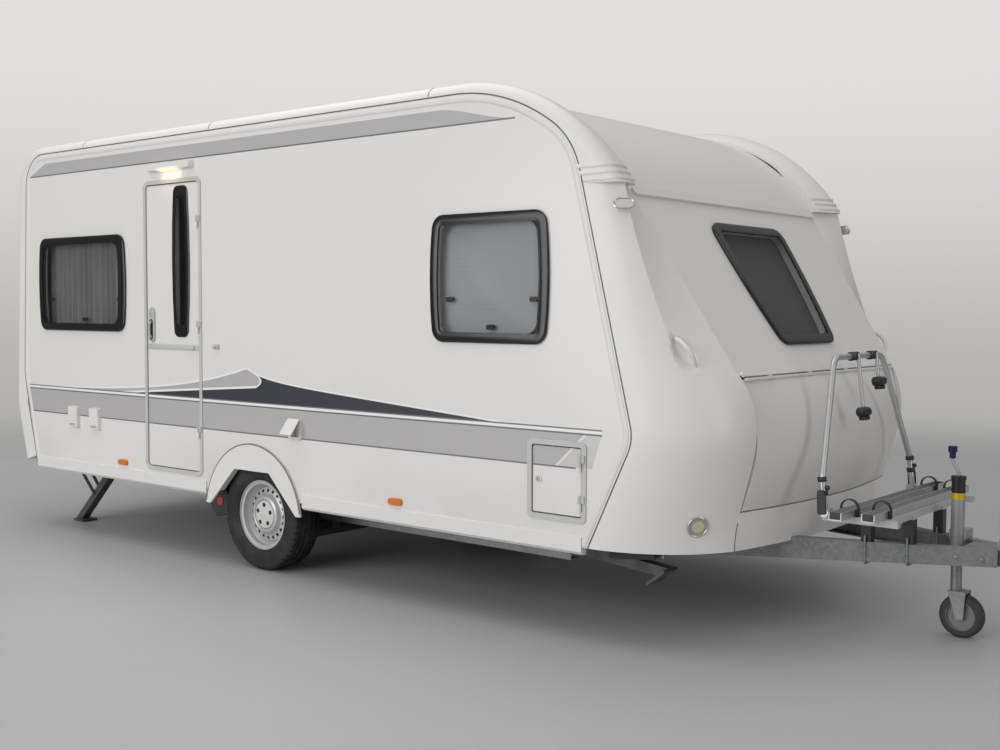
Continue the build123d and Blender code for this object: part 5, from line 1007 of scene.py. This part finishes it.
def arc(radius, turn):
    """Points of a level arc that leaves the side wall's seam square to the wall's face."""
    return np.stack([seam_x + radius * np.sin(turn), radius * (1.0 - np.cos(turn)) - SIDE], -1)


crease = 0.0015 + 0.0565 * np.clip((level - LOCKER_Z) / (BROW_Z - LOCKER_Z), 0.0, 1.0) ** 1.77
half_turn = full_turn / 2.0
out = np.stack([np.sin(half_turn), -np.cos(half_turn)], -1)
middle = arc(round_by, half_turn)
fold = middle + crease[..., None] * out
over, aside = fold[..., 0] - seam_x, fold[..., 1] + SIDE
fold_round = (over ** 2 + aside ** 2) / (2.0 * aside)
fold_turn = np.arctan2(over / fold_round, 1.0 - aside / fold_round)
share = np.linspace(0.0, 1.0, 26)
outer = arc(fold_round, share * fold_turn)
share = share[1:]
plain = arc(round_by, (0.5 + share / 2.0) * full_turn)
plain = plain + (crease * (1.0 - share))[..., None] * out
straight = fold + share[:, None] * (plain[:, -1:] - fold)
sharp = np.clip((level - 1.05) / 0.45, 0.0, 1.0)[..., None]
sharp = sharp * sharp * (3.0 - 2.0 * sharp)
flat = np.concatenate([outer, plain + sharp * (straight - plain)], 1)
shell = np.concatenate([flat, np.broadcast_to(level[..., None], flat.shape[:2] + (1,))], -1)
facing = np.cross(np.gradient(shell, axis=1), np.gradient(shell, axis=0))
facing /= np.linalg.norm(facing, axis=-1)[..., None]
toward = shell - GRAB_AT
grab_axis = GRAB_ALONG / np.linalg.norm(GRAB_ALONG)
length = toward @ grab_axis
width = np.linalg.norm(toward - length[..., None] * grab_axis, axis=-1)
leaf = (np.abs(length) / 0.100) ** 1.5 + (width / (0.052 - 0.15 * np.clip(length, -0.05, 0.1))) ** 2
dish = DISH_DEPTH * np.clip(1.0 - leaf, 0.0, 1.0) ** 0.7
shell = shell - dish[..., None] * facing
lining = shell - SHELL_WALL * facing
lining[:, 0] = shell[:, 0] + (0.0, SHELL_WALL, 0.0)
lining[..., 1] = np.minimum(lining[..., 1], shell[:, -1:, 1])
closed = np.concatenate([shell, lining[:, ::-1]], 1)
shells = [capped(closed * (1.0, -sign, 1.0)) for sign in (-1, 1)]
shells = fit("front_corner_shells", shells, corner_white, "caravan", 26.0)
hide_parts("front_corner_mouldings")
foot = level[:, 0] < 0.598
edge = shell[foot, -1] + (0.0005, 0.0, 0.0)
seams = [tube(edge[::6] * (1.0, -sign, 1.0), 0.0022, (0.0, 1.0, 0.0), 8) for sign in (-1, 1)]
fit("apron_seams", seams, seal_grey, "caravan")
chrome = mottled(
    "bright_steel", (0.72, 0.72, 0.73), (0.58, 0.58, 0.59), (0.12, 0.26), 12.0, 0.05, Metallic=0.95
)
turn = once_round(48)
bezels = []
# Bezels of the front lamps: place, facing, along, half length beyond the round ends, radius
for at, out, along, longer, radius in (
    ((1.690, -1.118, 1.938), (0.49, -0.83, 0.28), (-0.83, -0.49, 0.0), 0.020, 0.022),
    ((BULB_AT[0], -BULB_AT[1], BULB_AT[2]), (0.74, -0.61, -0.28), (0.61, 0.74, 0.0), 0.0, 0.045),
):
    n = np.array(out) / np.linalg.norm(out)
    u = np.array(along) / np.linalg.norm(along)
    hoop = np.stack([np.cos(turn) * radius + np.sign(np.cos(turn)) * longer, np.sin(turn) * radius], 1)
    path = np.array(at) + hoop[:, :1] * u + hoop[:, 1:] * np.cross(n, u) + 0.010 * n
    for sign in (-1, 1):
        mirror = np.array([1.0, -sign, 1.0])
        bezels.append(tube(np.concatenate([path, path[:2]]) * mirror, 0.0045, n * mirror, 10))
fit("front_lamp_bezels", bezels, chrome, "caravan")

# The roof hatches are covers blown from milky acrylic, with a rim and stiffening ribs. Each is clamped to a
# frame in a cut-out of the roof sheet.
milky, shader, where = coating("milky_acrylic", Coat_Weight=0.3)
x, y, z = axes(where)
ribbed = ridges(y * 62.0)
haze = grain(where, 3.0, 3.0)
tone = shade(haze, (0.72, 0.725, 0.72), (0.62, 0.625, 0.62))
paint(shader, tone, haze * 0.12 + 0.24, relief(ribbed, 0.3, 0.004))
dress(milky, "roof_hatches")

# The cycle carrier is bent and extruded aluminium on a steel base. Its hoop folds forward on dark hinge
# plates, two arms with moulded clamps hold the frames, and rubber straps tie the wheels to the channels.
dress(aluminium, "carrier_hoop", "carrier_rails")
bracket, shader, where = coating("carrier_brackets", Metallic=0.2)
x, y, z = axes(where)
wear = grain(where, 14.0, 4.0)
tone = shade(wear, (0.034, 0.034, 0.035), (0.022, 0.022, 0.023))
tone = shade(step(z, 0.556, 0.560), tone, shade(wear, (0.55, 0.555, 0.56), (0.42, 0.425, 0.43)))
paint(shader, tone, wear * 0.18 + 0.34, relief(wear, 0.1))
dress(bracket, "carrier_base")
strap_black = mottled("strap_rubber", (0.022, 0.022, 0.023), (0.014, 0.014, 0.014), (0.45, 0.65), 20.0, 0.15)
dress(strap_black, "carrier_straps")
HOOP_AT = np.array([2.354, 0.0, 0.600])
hoop_lean = math.radians(6.7)
hoop_up = np.array([-math.sin(hoop_lean), 0.0, math.cos(hoop_lean)])
hoop_out = np.array([math.cos(hoop_lean), 0.0, math.sin(hoop_lean)])
beside = np.array([0.0, 1.0, 0.0])
HOOP_TOP_Z = 1.285
HOOP_ROUND = 0.014
HOOP_HALF = 0.508
hoop_top = (HOOP_TOP_Z - HOOP_AT[2] - HOOP_ROUND) / math.cos(hoop_lean)
ring_line = [
    (0.0143, -0.017), (0.020, -0.017), (0.0215, -0.014), (0.0215, 0.014), (0.020, 0.017), (0.0143, 0.017),
]
block_rings = [(0.002, 0.014), (0.0, 0.016), (0.0, 0.030), (0.004, 0.036)]
grip_rings = [(0.008, 0.0), (0.001, 0.006), (0.0, 0.016), (0.0, 0.034), (0.003, 0.046), (0.010, 0.054)]
knob_rings = [(0.004, 0.0), (0.0, 0.003), (0.0, 0.015), (0.005, 0.019)]
lobes = once_round(60)
lobed = np.stack([np.cos(lobes), np.sin(lobes)], 1) * (0.022 + 0.003 * np.cos(6.0 * lobes))[:, None]
arms = []
clamps = []
knobs = []
# Clamp arms: place across, drop of the clamp below the cross bar
for y, drop in ((-0.080, 0.262), (0.130, 0.128)):
    head = HOOP_AT + y * beside + hoop_top * hoop_up
    stem = head + 0.032 * hoop_out
    arms.append(tube([stem - down * hoop_up for down in (-0.010, 0.05, drop - 0.02)], 0.009, beside, 18))
    clamps.append(lathe(ring_line, head, beside, 28))
    clamps.append(slab(oblong(0.032, 0.040, 0.010, 6), block_rings, (head, beside, hoop_up, hoop_out)))
    grip = head - drop * hoop_up + 0.008 * hoop_out
    clamps.append(slab(oblong(0.072, 0.046, 0.020, 8), grip_rings, (grip, beside, hoop_up, hoop_out)))
    knob = grip - 0.020 * hoop_up + 0.027 * hoop_out
    knobs.append(slab(lobed, knob_rings, (knob, beside, hoop_out, -hoop_up)))
arm_tubes = fit("clamp_arm_tubes", arms, aluminium, "hoop")
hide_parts("carrier_arms")
fit("clamp_heads", clamps + knobs, black, "hoop")
collar_line = [
    (0.0143, 0.0), (0.019, 0.0), (0.0205, 0.003), (0.0205, 0.019), (0.019, 0.022), (0.0143, 0.022),
]
stud_line = [(0, 0.020), (0.004, 0.020), (0.004, 0.0225), (0, 0.023)]
knob_line = [(0, -0.008), (0.009, -0.008), (0.011, 0.0), (0.009, 0.008), (0, 0.008)]
foot_outline = bend(
    [(-0.030, -0.052), (0.014, -0.052), (0.016, 0.030), (0.010, 0.056), (-0.022, 0.056)], 0.010, 5, True
)
foot_rings = [(0.0, 0.0), (0.0, 0.005), (0.002, 0.007)]
collars = []
studs = []
for sign in (-1, 1):
    leg = HOOP_AT + sign * HOOP_HALF * beside
    for up in (0.075, 0.135):
        collars.append(lathe(collar_line, leg + up * hoop_up, hoop_up, 24))
        studs.append(lathe(stud_line, leg + (up + 0.011) * hoop_up, hoop_out, 12))
    out = sign * beside
    foot = (leg + 0.044 * hoop_up + 0.0145 * out, -sign * hoop_out, hoop_up, out)
    collars.append(slab((foot_outline * (-sign, 1.0))[::-sign], foot_rings, foot))
    collars.append(lathe(knob_line, leg + 0.108 * hoop_up + 0.020 * hoop_out, hoop_out, 20))
fit("hoop_collars", collars, black, "hoop")
fit("hoop_collar_screws", studs, chrome, "hoop")
end_rings = [(0.0, 0.0), (0.0, 0.003), (0.001, 0.0038)]
ends = []
# Channels: place along, half length
for x, half in ((2.451, 0.626), (2.579, 0.582)):
    for sign in (-1, 1):
        place = plane((x, sign * (half - 0.004), 0.607), (-sign, 0.0, 0.0), (0.0, 0.0, 1.0), (0.0, sign, 0.0))
        ends.append(slab(oblong(0.0575, 0.0335, 0.008, 5), end_rings, place))
fit("channel_end_caps", ends, black, "caravan")

# The jockey wheel slides in a clamped steel tube with a dark collar, a yellow ring and a bent crank with
# a blue grip. Its small wheel has a solid tyre on a plastic disc and turns in a steel fork.
jockey, shader, where = coating("jockey_steel", Metallic=0.55)
x, y, z = axes(where)
weather = grain(where, 9.0, 4.0)
tone = shade(weather, (0.46, 0.465, 0.47), (0.28, 0.285, 0.29))
tone = shade(between(z, 0.660, 0.738), tone, (0.03, 0.03, 0.032))
tone = shade(between(z, 0.632, 0.660), tone, (0.66, 0.47, 0.03))
tone = shade(above(z, 0.814), tone, (0.015, 0.025, 0.075))
paint(shader, tone, weather * 0.2 + 0.36, relief(weather, 0.1))
dress(jockey, "jockey_tube")
dress(zinc, "jockey_fork")
roller, shader, where = coating("jockey_roller")
x, y, z = axes(where)
low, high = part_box("jockey_wheel")
middle = (low + high) / 2.0
reach = ((x - middle.x) ** 2 + (z - middle.z) ** 2) ** 0.5
wear = grain(where, 24.0, 3.0)
tone = shade(above(reach, 0.066), (0.24, 0.24, 0.245), (0.024, 0.024, 0.025))
paint(shader, shade(wear * 0.3, tone, (0.10, 0.097, 0.09)), wear * 0.2 + 0.5, relief(wear, 0.1))
dress(roller, "jockey_wheel")

# The ball coupling is a dark casting, bolted to the overrun shaft that runs back through rubber bellows to
# the galvanised housing on the drawbar.
cast = mottled("dark_casting", (0.085, 0.086, 0.09), (0.05, 0.05, 0.052), (0.4, 0.6), 10.0, 0.2, Metallic=0.4)
dress(cast, "coupling_head")
dress(strap_black, "coupling_bellows")
